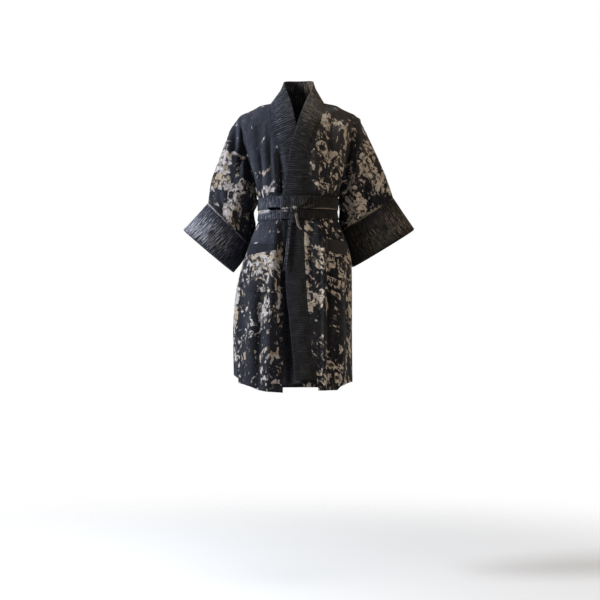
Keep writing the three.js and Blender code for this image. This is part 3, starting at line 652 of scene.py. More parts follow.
# A ring of a sleeve or cuff: outer x and z, inner x and z, how far behind the inner edge hangs, half depth
# before and behind. Folds are placed as seen from the front and from behind
sleeves = dict(
    thickness=1.6, foldDepth=1.4, start=0.004, seamStand=0.3, underarmStand=1.7,
    right=dict(
        patternAt=(2300, 40), cells=(176, 104), flat=(0.52, 0.27), area=0.10, seed=31,
        rings=[(-208, -72, -133, -286, 6, 50, 50), (-232, -128, -131, -316, 14, 52, 48),
            (-257, -192, -142, -346, 24, 50, 42), (-277, -252, -137, -388, 34, 46, 36),
            (-285, -313, -156, -445, 34, 40, 30)],
        foldsBefore=[(-174, 70, -144, 256, 0, 15, -17), (-186, 34, -184, 146, 0, 6, 4.4),
            (-198, 56, -200, 156, 0, 6, -4), (-210, 76, -216, 176, 2, 6, 4.4),
            (-177, 66, -188, 236, -4, 8, -5), (-206, 96, -236, 262, 6, 10, 5),
            (-166, 150, -170, 330, 5, 9, 5.5), (-218, 190, -262, 316, 4, 9, -5),
            (-190, 240, -214, 372, -6, 11, 5), (-236, 230, -272, 330, 0, 8, 4.5),
            (-172, 330, -196, 424, 4, 9, -5), (-158, 270, -160, 400, 0, 8, 3.5),
            (-244, 296, -226, 370, 5, 8, -3.5)],
        foldsBehind=[(-172, 80, -144, 256, 0, 15, -14), (-186, 50, -214, 220, 6, 11, 6),
            (-170, 110, -180, 300, -4, 9, -5), (-212, 130, -250, 300, 5, 11, 5),
            (-168, 240, -186, 400, 4, 10, 5), (-226, 220, -244, 350, 0, 9, -4.5),
            (-196, 320, -210, 420, 0, 8, 4)],
        light=[(-190, 60, 60, 50, -1.6), (-240, 190, 44, 60, 3.4), (-212, 262, 60, 34, 2.0),
            (-164, 170, 18, 80, -0.6), (-198, 350, 48, 40, 1.6), (-246, 290, 15, 20, -3.0),
            (-196, 244, 14, 18, -2.6)]),
    left=dict(
        patternAt=(3100, 260), cells=(176, 104), flat=(0.52, 0.26), area=0.095, seed=32,
        rings=[(202, -70, 130.6, -284, 6, 50, 50), (222, -110, 128, -310, 14, 52, 48),
            (251, -171, 131, -340, 24, 50, 42), (281, -244, 129, -370, 32, 46, 36),
            (299, -297, 139, -400, 34, 42, 32)],
        foldsBefore=[(165, 70, 142, 252, 0, 15, -17), (166, 30, 190, 66, -9, 6, 6),
            (176, 46, 196, 96, 8, 6, -5.5), (186, 50, 208, 104, 8, 6, 4.5), (190, 70, 202, 190, 6, 9, 5.5),
            (178, 172, 152, 290, 6, 8, -6), (196, 150, 176, 300, 5, 10, 5), (216, 120, 240, 270, -6, 10, -4.5),
            (232, 170, 262, 300, 4, 9, 5), (168, 262, 186, 380, -5, 9, 5), (210, 230, 224, 350, 6, 10, -5),
            (258, 224, 284, 318, 0, 8, -4), (242, 280, 250, 352, 4, 8, 4)],
        foldsBehind=[(165, 80, 142, 252, 0, 15, -14), (184, 46, 208, 200, -6, 11, 6),
            (168, 110, 172, 290, 5, 9, -5), (206, 130, 250, 280, 4, 11, 5.5), (168, 230, 190, 360, -4, 10, 5),
            (228, 200, 246, 330, 0, 9, -4.5), (196, 280, 210, 390, 0, 8, 4)],
        light=[(176, 60, 50, 40, -0.7), (222, 190, 60, 70, 2.0), (256, 262, 44, 50, 1.5),
            (176, 330, 44, 60, 2.3), (232, 350, 50, 30, 1.2), (212, 250, 14, 18, -2.4),
            (250, 208, 12, 12, -2.0)]),
)
cuffs = dict(
    thickness=2.0, foldDepth=0.6, hangBehind=6,
    # pale trim at the seam: amount, share of the cuff and how gradually, seed and size of its unevenness
    trim=6, trimEdge=(0.035, 0.02), trimWaves=(71, 90),
    right=dict(
        cells=(176, 40), flat=(0.40, 0.12), area=0.046, seed=41,
        rings=[(-285.4, -313.8, -156.5, -445.8, 34, 40, 30), (-324, -357, -174, -489, 32, 44, 34),
            (-363, -398, -206, -531, 20, 46, 42)],
        foldsBefore=[(-262, 370, -300, 446, 0, 14, 4), (-216, 400, -250, 486, 0, 12, -4),
            (-190, 440, -214, 500, 0, 10, 3)],
        foldsBehind=[(-250, 380, -290, 470, 0, 15, 4), (-206, 430, -230, 500, 0, 10, -3)],
        light=[(-330, 390, 76, 54, 2.2), (-250, 440, 60, 50, 1.3), (-170, 500, 40, 50, -0.4)]),
    left=dict(
        cells=(176, 40), flat=(0.42, 0.12), area=0.049, seed=42,
        rings=[(299.4, -297.8, 139.4, -400.8, 34, 42, 32), (333, -348, 160, -456, 34, 44, 35),
            (366, -396, 172, -514, 26, 46, 40)],
        foldsBefore=[(262, 350, 300, 430, 0, 14, -4), (232, 370, 262, 458, 0, 12, 4),
            (186, 410, 200, 480, 0, 10, -3)],
        foldsBehind=[(250, 360, 290, 450, 0, 15, 4), (210, 400, 230, 480, 0, 10, -3)],
        light=[(320, 370, 60, 50, 1.6), (220, 440, 60, 50, 1.1)]),
)


# Folds of a tube turn from its front to its back, and fade near its start and end; small is size and amount
tubes = dict(turn=1.6, bothSides=0.1, wrap=70, small=[(58, 0.9), (22, 0.5)], sideFade=3, start=0.045, end=0.07)


def armholePoint(side, t):
    # The armhole as a loop: down its front line and up its back one, from the shoulder to under the arm
    drop = seams["armholeBottom"] * (1 - np.cos(t)) / 2
    line = np.abs(angleAt(armholeX(side, drop), drop))
    point = bodyPoint(sides[side] * np.where(np.sin(t) > 0, line, math.pi - line), drop)
    point[..., 1] = np.where(np.abs(np.sin(t)) < 1e-6, 0, point[..., 1])
    return point


def ringPoint(ring, t):
    # A flattened ring from its outer edge (t = 0) round to its inner one, bulging before and behind
    outX, outZ, inX, inZ, inY, before, behind = ring
    share = (1 + np.cos(t)) / 2
    y = np.where(np.sin(t) > 0, -before, behind) * np.abs(np.sin(t)) ** 0.9 + inY * (1 - share) ** 2
    return np.stack([mix(inX, outX, share), y, mix(inZ, outZ, share)], axis=-1)


def throughRings(rings, place):
    # The same curve through the rings of a tube, spaced evenly along it, for each of their points
    at = np.clip(place, 0, 1) * (len(rings) - 1)
    points = np.stack(rings)
    slope = innerSlopes(np.diff(points, axis=0))
    i = np.clip(at.astype(int), 0, len(rings) - 2)
    column = np.arange(points.shape[1])[None, :]
    return hermite(points[i, column], points[i + 1, column], slope[i, column], slope[i + 1, column],
                   (at - i)[..., None])


def tubeFolds(middle, v, tube, amount):
    # Folds of a tube, seen from the front or from behind, fading at both of its seams
    x, drop = middle[..., 0], -middle[..., 2]
    normal = gridNormal(*gridSteps(middle, True))
    out = np.sign(np.sum((middle - middle.mean(axis=1, keepdims=True)) * normal, axis=-1).mean())
    facing = -normal[..., 1] * out
    turn, both = tubes["turn"], tubes["bothSides"]
    height = (creases(x, drop, tube["foldsBefore"]) * ease(facing * turn + both)
              + creases(x, drop, tube["foldsBehind"]) * ease(-facing * turn + both))
    small = sum(share * wander(x + facing * tubes["wrap"], drop, tube["seed"] + k, size)
                for k, (size, share) in enumerate(tubes["small"]))
    height = amount * (height + small * ease(np.abs(facing) * tubes["sideFade"]))
    height = out * height * ease(v / tubes["start"]) * ease((1 - v) / tubes["end"])
    return middle + normal * height[..., None]


def loopAngles(u):
    # Angle round a closed grid, from behind on the body and from under the arm on a sleeve
    return 2 * math.pi * (u + 0.5)


def sleeveSurface(side, u, v):
    # From the armhole, a little outside the body's cloth, through the sleeve's rings to the cuff
    t = loopAngles(u[0])
    start = armholePoint(side, t)
    stand = sleeves["seamStand"] + sleeves["underarmStand"] * ease((1 - np.cos(t)) / 2)
    start[..., 0] += np.sign(start[..., 0]) * stand
    rings = [start] + [ringPoint(ring, t) for ring in sleeves[side]["rings"]]
    middle = throughRings(rings, mix(sleeves["start"], 1, v))
    return tubeFolds(middle, v, sleeves[side], sleeves["foldDepth"])


def cuffSurface(side, u, v):
    # Through the cuff's rings, hanging a little lower behind
    middle = throughRings([ringPoint(ring, loopAngles(u[0])) for ring in cuffs[side]["rings"]], v)
    middle[..., 2] -= cuffs["hangBehind"] * np.maximum(0, -np.sin(loopAngles(u))) ** 0.5 * v
    return tubeFolds(middle, v * 0.93, cuffs[side], cuffs["foldDepth"])


# A pocket: place across of its inner and outer edge, depth of the welt's top and bottom at each, and of the hem
pockets = dict(
    step=2.9, weltStep=3.2, thickness=1.6, weltThickness=2.2, seam=0.5, towardMiddle=1, hemRise=4,
    moreLight=0.2,
    right=dict(inner=-67, outer=-151, top=(446, 445), welt=(466, 481), bottom=598, patternAt=(1500, 80),
               cells=(56, 56), flat=(0.095, 0.128), area=0.0115,
               strip=dict(cells=(56, 16), flat=(0.095, 0.035), area=0.0026)),
    left=dict(inner=81, outer=150, top=(431, 444), welt=(467, 483), bottom=587, patternAt=(1800, 500),
              cells=(56, 50), flat=(0.078, 0.118), area=0.009,
              strip=dict(cells=(56, 16), flat=(0.078, 0.038), area=0.0029)),
)
# A turn of the belt: how far it stands off, the depth of its top and bottom behind, and in front at places
# across
belt = dict(
    thickness=1.9, spreadRight=48, spreadLeft=64, spreadFade=24, behindTurn=2.5,
    # unevenness of the edges: height, millimetres in a radian, seed, size
    waves=(0.35, 120, 51, 70),
    # hollow of the cloth between the turns: x, depth, half width, half depth, how deep
    hollow=(-70, 337, 22, 9, 9),
    upper=dict(
        stand=6.6, level=(300, 338), cells=(320, 18), flat=(0.04, 0.75), area=0.03,
        edge=[(-130, 305, 338), (-94, 300, 338), (-86, 299, 332), (-58, 299, 332), (-46, 299, 338),
            (50, 299, 337), (122, 301, 337)],
        folds=[(-2, 336, 46, 312, 3, 3.4, -2.2), (2, 330, 34, 302, 4, 3.4, 2.0), (14, 338, 60, 322, 2, 3, 2.0),
            (-58, 330, -96, 316, -3, 4, -1.4), (-56, 326, -84, 306, -2, 3, 1.2),
            (60, 322, 120, 316, 2, 5, 1.1), (-44, 290, -42, 345, 0, 9, 3.4), (-24, 290, -24, 345, 0, 9, -2.6),
            (96, 300, 92, 336, 2, 6, -1.1)],
        light=[(-90, 318, 50, 30, 0.9), (60, 318, 90, 30, -0.1), (86, 336.8, 36, 1.8, 9)]),
    lower=dict(
        stand=3.9, level=(336, 369), cells=(320, 16), flat=(0.035, 0.75), area=0.026,
        edge=[(-130, 343, 369), (-96, 336, 370), (-84, 342, 370), (-56, 342, 370), (-30, 338, 369),
            (40, 340, 367), (122, 340, 366)],
        folds=[(-6, 342, 40, 356, -2, 3, -1.6), (-50, 344, -90, 358, 2, 3, -1.3),
            (-48, 348, -76, 366, 2, 3, 1.2), (10, 346, 60, 364, 2, 3, 1.4),
            (-128, 349, -94, 342, 0, 2.2, -1.6), (-42, 336, -42, 372, 0, 9, 3.0),
            (-22, 336, -22, 372, 0, 9, -2.4)],
        light=[(-88, 356, 46, 20, 0.9), (60, 350, 90, 30, -0.3), (-118, 344, 22, 4.5, 9),
            (-100, 339.5, 12, 3.2, 7)]),
)
# A groove of the knot: place along it, slant, width, depth
knot = dict(
    x=-27, z=-341, halfWidth=28, halfHeight=12, halfDepth=9, loopHeight=0.62, pinch=0.34, stand=1.3, tip=0.35,
    cells=(72, 56), flat=(0.025, 0.065),
    grooves=[(-9, 4, 1.6, -2.0), (2, -3, 1.3, -1.5), (12, 5, 1.5, -1.8), (-17, -2, 1.6, -1.0),
             (20, -3, 1.6, -1.0), (-3, 4, 3.4, 1.1)],
    light=[(-43, 334, 12, 4, 8), (-42, 347, 11, 4.5, 6), (-11, 333, 6, 6, 6)])
# A station of a tail: x, z, width
tails = dict(
    thickness=2.4, stand=10.7, knotStand=6, knotFade=28,
    # light yarns: how many, how uneven, with a seed and size; on the long tail from where across and down
    light=(0.6, 2.0), waves=(20, 180, 61, 60), edge=(0.22, 0.14), below=(0.14, 0.1), shortMore=3.2,
    long=dict(twist=3.5, cells=(14, 80), flat=(0.010, 0.18), area=0.0016,
              stations=[(-22, -351.8, 10), (-28, -400, 8), (-31, -428, 7.5), (-34, -468, 9), (-38, -500, 9),
                  (-42, -531, 7)]),
    short=dict(twist=-4, cells=(14, 40), flat=(0.010, 0.056), area=0.00048,
               stations=[(-8, -351.1, 7), (-4, -373, 6), (0, -389, 6.5), (8, -402, 5.5)]),
)


def patchSurface(side, inner, outer, u, v, top, bottom, height):
    # A patch on a front between two places across and two slanting depths, at a height over the cloth
    drop = mix(mix(top[0], top[1], u), mix(bottom[0], bottom[1], u), v)
    angle = mix(angleAt(inner, drop), angleAt(outer, drop), u)
    x = bodyPoint(angle, drop)[..., 0]
    return raised(angle, drop, height + frontLift(x, drop, side)), x, drop


def beltSurface(turn, u, v):
    # A band round the body between its top and bottom edges, which are level behind. It stands further off in
    # front, where it crosses the wrap, and has its own creases
    angle = loopAngles(u)
    table = np.array(turn["edge"], float)
    x = bodyPoint(angle, np.full(angle.shape, turn["level"][0]))[..., 0]
    behind = ease(-np.cos(angle) * belt["behindTurn"])
    top, bottom = (mix(through(table[:, 0], table[:, k], x), turn["level"][k - 1], behind) for k in (1, 2))
    drop = mix(top, bottom, v)
    spread = np.where(x > 0, belt["spreadLeft"], belt["spreadRight"])
    front = np.where(np.cos(angle) > 0, 1 - ease((np.abs(x) - spread) / belt["spreadFade"]), 0)
    crease = creases(x, drop, turn["folds"]) * (np.cos(angle) > 0)
    height, radius, seed, size = belt["waves"]
    edge = height * wander(angle * radius, drop, seed, size) * ease(np.minimum(v, 1 - v) * 8)
    return raised(angle, drop, turn["stand"] + seams["wrapStep"] * front + crease + edge), x, drop


def frontY(x, z, height):
    # How far forward a place at a height over the body's front is
    return raised(angleAt(x, -z), -z, height)[..., 1]


def knotMesh(material):
    # A wrapped lump pinched in the middle, with slanting grooves where the belt passes through itself: rings
    # round a level line, whose height and depth swell from both tips, closed by a fan of quads at each tip
    around, rings = knot["cells"]
    stand = belt["upper"]["stand"] + seams["wrapStep"] + knot["stand"] + knot["halfDepth"]
    y0 = float(frontY(np.array(float(knot["x"])), np.array(float(knot["z"])), np.array(stand)))
    turn, run = np.meshgrid(np.arange(around) * 2 * math.pi / around, np.linspace(0, math.pi, rings))
    place = -knot["halfWidth"] * np.cos(run)
    swell = np.sin(run) ** 0.6 * (1 - knot["pinch"] * bell(place, -1, 5))
    swell = swell * mix(knot["loopHeight"], 1, ease(place / 6))
    groove = np.sin(run) * sum(depth * bell(place + slant * np.cos(turn), at, wide)
                               for at, slant, wide, depth in knot["grooves"])
    height, depth = knot["halfHeight"] * swell + groove, knot["halfDepth"] * swell + groove * 0.8
    points = along(knot["x"] + place, y0 + depth * np.sin(turn), knot["z"] + height * np.cos(turn))
    tip = knot["tip"] * along(0 * turn[0], np.sin(turn[0]), np.cos(turn[0]))
    for row, side in ((0, -1), (-1, 1)):
        points[row] = np.array([knot["x"] + side * knot["halfWidth"], y0, knot["z"]]) + tip
    corners = cellCorners(rings, around, True)
    quads = np.stack([row * around + column % around for row, column in corners], axis=1)
    uv = np.stack([np.stack([column * 2 * math.pi / around * 9, row * 1.1], axis=1) for row, column in corners],
                  axis=1)
    first = np.arange(1, around - 2, 2)
    fan = np.stack([0 * first, first, first + 1, first + 2], axis=1)
    quads = np.concatenate([quads, fan[:, ::-1], fan + (rings - 1) * around])
    uv = np.concatenate([uv, np.zeros((2 * len(fan), 4, 2))])
    points = points.reshape(-1, 3)
    quads, uv = flipIfInside(points, quads, uv)
    return linkPiece("beltKnot", points, quads, uv, spots(points[:, 0], -points[:, 2], knot["light"]), material)


def tailSurface(tail, u, v):
    # A narrow strip through its stations, twisting a little and standing further off just under the knot
    rows = np.array(tail["stations"], float)
    at = v * (len(rows) - 1)
    middleX, z, width = (through(np.arange(len(rows)), rows[:, k], at) for k in range(3))
    across = u - 0.5
    fallen = v * (rows[0, 1] - rows[-1, 1])
    stand = tails["stand"] + tails["knotStand"] * (1 - ease(fallen / tails["knotFade"]))
    y = frontY(middleX, z, stand) - across * tail["twist"] * np.sin(math.pi * v)
    return along(middleX + width * across, y + 0.8 * np.cos(across * 5) * ease(v * 5), z)


class ClothShader:
    # Short names for building the node graph of one cloth. Places on the cloth are millimetres of its UV map
    def __init__(self, name, look):
        self.material = bpy.data.materials.new(name)
        self.material.use_nodes = True
        tree = self.material.node_tree
        self.nodes, self.links = tree.nodes, tree.links
        self.surface = tree.nodes["Principled BSDF"]
        self.surface.inputs["Roughness"].default_value = look["roughness"]
        self.surface.inputs["Specular IOR Level"].default_value = 0.15
        self.surface.inputs["Sheen Weight"].default_value = look["sheen"]
        self.surface.inputs["Sheen Roughness"].default_value = 0.5
        self.surface.inputs["Sheen Tint"].default_value = (*look["sheenTint"], 1)
        flat = self.node("ShaderNodeUVMap")
        flat.uv_map = "cloth"
        self.place = self.stretch(flat.outputs["UV"], (1 / metre,) * 3)
        mottle = self.node("ShaderNodeAttribute")
        mottle.attribute_name = "mottle"
        self.density = mottle.outputs["Fac"]

    def node(self, kind, operation=None):
        node = self.nodes.new(kind)
        if operation:
            node.operation = operation
        return node

    def put(self, socket, value):
        # A link where the value is another node's socket, and else a constant
        if isinstance(value, bpy.types.NodeSocket):
            self.links.new(value, socket)
        else:
            socket.default_value = value

    def stretch(self, place, factors, shift=(0, 0, 0)):
        # The place times a factor for each axis, plus a shift
        node = self.node("ShaderNodeVectorMath", "MULTIPLY_ADD")
        for socket, value in zip(node.inputs, (place, factors, shift)):
            self.put(socket, value)
        return node.outputs[0]

    def math(self, operation, a, b=0.0, c=0.0):
        node = self.node("ShaderNodeMath", operation)
        for socket, value in zip(node.inputs, (a, b, c)):
            self.put(socket, value)
        return node.outputs[0]

    def add(self, a, b):
        return self.math("ADD", a, b)

    def less(self, a, b):
        return self.math("SUBTRACT", a, b)

    def times(self, a, b):
        return self.math("MULTIPLY", a, b)

    def line(self, value, slope, start):
        return self.math("MULTIPLY_ADD", value, slope, start)

    def noiseNode(self, place, size, detail, shift):
        node = self.node("ShaderNodeTexNoise")
        self.put(node.inputs["Vector"], self.stretch(place, (1 / size[0], 1 / size[1], 1), shift))
        node.inputs["Scale"].default_value = 1
        node.inputs["Detail"].default_value = detail
        return node

    def noise(self, place, size, detail=2.0, rough=0.5, shift=(0, 0, 0)):
        # Uneven swells of a size in millimetres across and down the cloth
        node = self.noiseNode(place, size, detail, shift)
        node.inputs["Roughness"].default_value = rough
        return node.outputs["Fac"]

    def warped(self, place, size, amount):
        # The place on the cloth moved by a soft unevenness of up to an amount in millimetres
        node = self.noiseNode(place, (size, size), 1, (0, 0, 0))
        return self.stretch(node.outputs["Color"], (2 * amount,) * 3, place)

    def snapped(self, place, step):
        # Stepped to the yarns, which gives a patch its small square teeth
        node = self.node("ShaderNodeVectorMath", "SNAP")
        self.put(node.inputs[0], place)
        node.inputs[1].default_value = step
        return node.outputs[0]

    def step(self, value, low, high):
        # 0 at low and 1 at high, smooth between them; low may be the greater
        node = self.node("ShaderNodeMapRange")
        node.interpolation_type = "SMOOTHSTEP"
        for name, amount in (("Value", value), ("From Min", low), ("From Max", high)):
            self.put(node.inputs[name], amount)
        return node.outputs["Result"]

    def blend(self, share, a, b):
        # From colour a to colour b by a share
        node = self.node("ShaderNodeMix")
        node.data_type = "RGBA"
        self.put(node.inputs["Factor"], share)
        for socket, value in ((node.inputs[6], a), (node.inputs[7], b)):
            self.put(socket, (*value, 1) if isinstance(value, tuple) else value)
        return node.outputs[2]

    def axis(self, place, name):
        split = self.node("ShaderNodeSeparateXYZ")
        self.put(split.inputs[0], place)
        return split.outputs[name]

    def between(self, axis, low, high):
        # 0 to 1 between two places in metres along one axis of the robe
        where = self.node("ShaderNodeTexCoord")
        return self.step(self.axis(where.outputs["Object"], axis), low, high)

    def ribs(self, axis, period, wobble=0.0):
        # Even ridges along the cloth, from -1 to 1, shifted by a soft unevenness
        place = self.axis(self.place, axis)
        if wobble:
            place = self.add(place, self.times(self.noise(self.place, (12, 12), 1), wobble))
        return self.math("SINE", self.times(place, 2 * math.pi / period))

    def finish(self, colour, height, distance, strength):
        # The colour and the height of the weave go to the surface
        self.put(self.surface.inputs["Base Color"], colour)
        node = self.node("ShaderNodeBump")
        node.inputs["Strength"].default_value = strength
        node.inputs["Distance"].default_value = distance
        self.put(node.inputs["Height"], height)
        self.links.new(node.outputs["Normal"], self.surface.inputs["Normal"])
        return self.material


# In the looks, a noise is the size of its swells across and down in millimetres, its detail, its roughness and
# a shift. An edge is the two values between which something comes in
mottledLook = dict(
    roughness=0.88, sheen=0.04, sheenTint=(0.7, 0.75, 0.9),
    dark=(0.0160, 0.0172, 0.0256), worn=(0.0300, 0.0325, 0.0450), deep=(0.0040, 0.0042, 0.0062),
    # The browner ground and worn ground on this line, and the tan at the end of the next one, are painted warm
    # light on the wearer's left side
    warmLitDark=(0.0135, 0.0120, 0.0105), warmLitWorn=(0.058, 0.0500, 0.0425), slubLight=(0.060, 0.062, 0.078),
    offWhite=(0.45, 0.415, 0.42), beige=(0.38, 0.30, 0.215), tan=(0.60, 0.51, 0.405),
    patch=((35, 41), 3.5, 0.60), upright=((11, 52), 3, 0.6, (3.1, 4.4, 0)),
    zone=((74, 84), 3, 0.5, (2.4, 6.6, 0)), hole=((15, 17), 2, 0.55, (5.5, 1.2, 0)),
    speck=((4.2, 5.0), 1, 0.5), wear=((70, 110), 3, 0.6, (8.8, 3.3, 0)), slub=((1.1, 9), 2, 0.6, (2.2, 6.1, 0)),
    heather=((4.2, 11), 2, 0.6, (7.2, 2.6, 0)), tone=((84, 96), 1, 0.5, (4.1, 7.7, 0)),
    shade=((12, 14), 3, 0.65, (6.1, 5.7, 0)), sweep=(44, 5),
    yarnStep=(1.2, 1.8, 1), speckStep=(1.0, 1.4, 1), heatherStep=(1.6, 2.4, 1),
    threshold=0.590, gain=0.085, zoneGain=0.85, uprightLess=0.045,
    patchEdge=(-0.004, 0.014), holeEdge=(0.575, 0.535), haloEdge=(-0.035, 0.0),
    speckEdge=(0.66, 0.70), speckNear=(-0.12, -0.02), wornEdge=(0.42, 0.72), warmLitWornEdge=(0.28, 0.52),
    deepEdge=(-0.9, 0.0), heatherEdge=(0.48, 0.74), toneEdge=(0.54, 0.59), shadeEdge=(0.34, 0.60),
    # Painted light and shade on the next two lines: where the painted warm light of the wearer's left comes in
    # across, the heights over which the painted shade of the skirt lifts, and how much of the warm light there
    # is; then how much deep colour comes in, more of it down the skirt as painted shade
    warmLitX=(-0.07, 0.10), litAboveSkirtZ=(-0.30, -0.10), warmLitShare=0.85, heatherShare=0.34, haloShare=0.12,
    speckShare=0.55, deepAndSkirtShade=(-0.40, 0.7), twill=1.25,
)


def makeMottledCloth():
    # A patch shows where a rough noise or an upright one passes a threshold, which the density and a very large
    # noise lower. Round dark holes are taken out of it, and small specks lie close around it
    look = mottledLook
    cloth = ClothShader("mottledCloth", look)
    swept = cloth.warped(cloth.place, *look["sweep"])
    jagged = cloth.snapped(swept, look["yarnStep"])
    patch, upright, zone, hole, shade = (cloth.noise(jagged, *look[name]) for name in (
        "patch", "upright", "zone", "hole", "shade"))
    limit = cloth.line(cloth.density, -look["gain"], look["threshold"])
    limit = cloth.line(cloth.less(zone, 0.5), -look["zoneGain"], limit)
    over = cloth.less(cloth.math("MAXIMUM", patch, cloth.less(upright, look["uprightLess"])), limit)
    core = cloth.times(cloth.step(over, *look["patchEdge"]), cloth.step(hole, *look["holeEdge"]))
    speck = cloth.noise(cloth.snapped(cloth.place, look["speckStep"]), *look["speck"])
    specks = cloth.times(cloth.step(speck, *look["speckEdge"]), cloth.step(over, *look["speckNear"]))
    light = cloth.math("MAXIMUM", core, cloth.times(specks, look["speckShare"]))

    # The ground is bluish on one side and browner on the wearer's left, which is painted warm light. It is worn
    # in large areas, deep among the patches and darker down the skirt, which is painted shade
    warmLit = cloth.times(cloth.between("X", *look["warmLitX"]), look["warmLitShare"])
    # 0 down the skirt and 1 above it: the skirt is painted shade, darker than the chest
    litAboveSkirt = cloth.between("Z", *look["litAboveSkirtZ"])
    wear, slub = cloth.noise(cloth.place, *look["wear"]), cloth.noise(cloth.place, *look["slub"])
    ground = cloth.blend(cloth.step(wear, *look["wornEdge"]), look["dark"], look["worn"])
    # Browner worn areas, which are painted warm light, come in only above the skirt
    warmLitShare = cloth.times(litAboveSkirt, cloth.step(wear, *look["warmLitWornEdge"]))
    ground = cloth.blend(warmLit, ground, cloth.blend(warmLitShare, look["warmLitDark"], look["warmLitWorn"]))
    # Deep colour among the patches, and more of it down the skirt, which is painted shade
    deepAndSkirtShade = cloth.times(cloth.step(cloth.density, *look["deepEdge"]), cloth.line(litAboveSkirt, *look["deepAndSkirtShade"]))
    ground = cloth.blend(deepAndSkirtShade, ground, look["deep"])
    heather = cloth.noise(cloth.snapped(cloth.place, look["heatherStep"]), *look["heather"])
    heatherShare = cloth.times(cloth.step(heather, *look["heatherEdge"]), look["heatherShare"])
    ground = cloth.blend(heatherShare, ground, look["slubLight"])
    halo = cloth.times(cloth.step(over, *look["haloEdge"]), look["haloShare"])
    ground = cloth.blend(halo, ground, look["beige"])

    tone = cloth.step(cloth.noise(swept, *look["tone"]), *look["toneEdge"])
    # Patches are tan on the wearer's left: painted warm light
    pale = cloth.blend(warmLit, cloth.blend(tone, look["offWhite"], look["beige"]), look["tan"])
    shade = cloth.line(cloth.step(shade, *look["shadeEdge"]), 0.55, 0.45)
    grain = cloth.times(cloth.line(slub, 0.6, 0.62), shade)
    colour = cloth.blend(cloth.math("MINIMUM", cloth.times(light, grain), 1.0), ground, pale)
    twill = cloth.add(cloth.times(cloth.ribs("X", look["twill"]), 0.5), cloth.times(slub, 1.6))
    return cloth.finish(colour, cloth.add(twill, cloth.times(core, 0.5)), 0.0004, 0.5)


ribbedLook = dict(
    roughness=0.84, sheen=0.08, sheenTint=(0.75, 0.78, 0.9),
    # The second colour here and the browner ones on the next line are painted warm light on the wearer's left;
    # the browner fleck is also the beige of stained yarns
    dark=(0.0100, 0.0110, 0.0168), warmLitDark=(0.0070, 0.0062, 0.0056), rib=(0.100, 0.108, 0.148),
    warmLitRib=(0.078, 0.066, 0.052), fleck=(0.36, 0.36, 0.40), beigeAndWarmLitFleck=(0.26, 0.205, 0.145),
    period=7.0, wobble=5.0, finePeriod=7.0 / 2.3, fineWobble=3.0,
    thick=((30, 7.5), 3, 0.65, (1.1, 2.2, 0)), slub=((24, 2.4), 2, 0.6, (5.1, 3.3, 0)),
    yarn=((38, 2.4), 3, 0.65, (9.1, 0.4, 0)), tone=((14, 14), 1, 0.5, (4.4, 1.7, 0)), yarnStep=(4, 0.9, 1),
    ribEdge=(-0.5, 1.1), thickEdge=(0.38, 0.60), toneEdge=(0.46, 0.54), stainEdge=(2.0, 4.0),
    # The last edge on the next line is where the painted warm light of the wearer's left comes in
    fleckEdge=(0.0, 0.07), streakEdge=(-0.03, 0.05), warmLitX=(-0.10, 0.05),
    ribGain=(0.30, 0.62), threshold=0.635, gain=0.085, fleckShare=0.75, streakShare=0.25,
)


def makeRibbedCloth():
    # Fine uneven ribs with light yarns that come and go along them; the density brings more of the light yarns.
    # On the wearer's left the ground, ribs and flecks are browner, which is painted warm light
    look = ribbedLook
    cloth = ClothShader("ribbedCloth", look)
    ribs = cloth.ribs("Y", look["period"], look["wobble"])
    fineRibs = cloth.ribs("Y", look["finePeriod"], look["fineWobble"])
    thick, slub, tone = (cloth.noise(cloth.place, *look[name]) for name in ("thick", "slub", "tone"))
    yarn = cloth.noise(cloth.snapped(cloth.place, look["yarnStep"]), *look["yarn"])
    # Painted warm light, towards the wearer's left
    warmLit = cloth.between("X", *look["warmLitX"])
    ribShare = cloth.step(cloth.add(ribs, cloth.times(fineRibs, 0.5)), *look["ribEdge"])
    ribShare = cloth.times(ribShare, cloth.step(thick, *look["thickEdge"]))
    ribShare = cloth.times(ribShare, cloth.math("MINIMUM", cloth.line(cloth.density, *look["ribGain"]), 1.0))
    ground = cloth.blend(ribShare, cloth.blend(warmLit, look["dark"], look["warmLitDark"]),
                         cloth.blend(warmLit, look["rib"], look["warmLitRib"]))
    stained = cloth.times(cloth.step(tone, *look["toneEdge"]), cloth.step(cloth.density, *look["stainEdge"]))
    # Flecks are browner under painted warm light on the wearer's left, and beige where stained
    pale = cloth.blend(cloth.math("MAXIMUM", warmLit, stained), look["fleck"], look["beigeAndWarmLitFleck"])
    limit = cloth.line(cloth.density, -look["gain"], look["threshold"])
    flecks = cloth.times(cloth.step(cloth.less(yarn, limit), *look["fleckEdge"]), look["fleckShare"])
    streaks = cloth.times(cloth.step(cloth.less(slub, limit), *look["streakEdge"]), look["streakShare"])
    colour = cloth.blend(cloth.math("MAXIMUM", flecks, streaks), ground, pale)
    height = cloth.add(cloth.times(ribs, 0.7), cloth.times(fineRibs, 0.3))
    return cloth.finish(colour, cloth.add(height, cloth.times(slub, 1.5)), 0.0006, 0.7)


plainLook = dict(
    roughness=0.88, sheen=0.08, sheenTint=(0.7, 0.75, 0.9),
    # The brown is the same dark cloth under painted warm light
    indigo=(0.0078, 0.0084, 0.0132), warmLitBrown=(0.029, 0.0245, 0.0218), slubLight=(0.04, 0.04, 0.047),
    slub=((1.0, 8), 2, 0.6), slubEdge=(0.5, 0.8), slubShare=0.5, warmLitX=(-0.07, 0.10), twill=1.2,
)


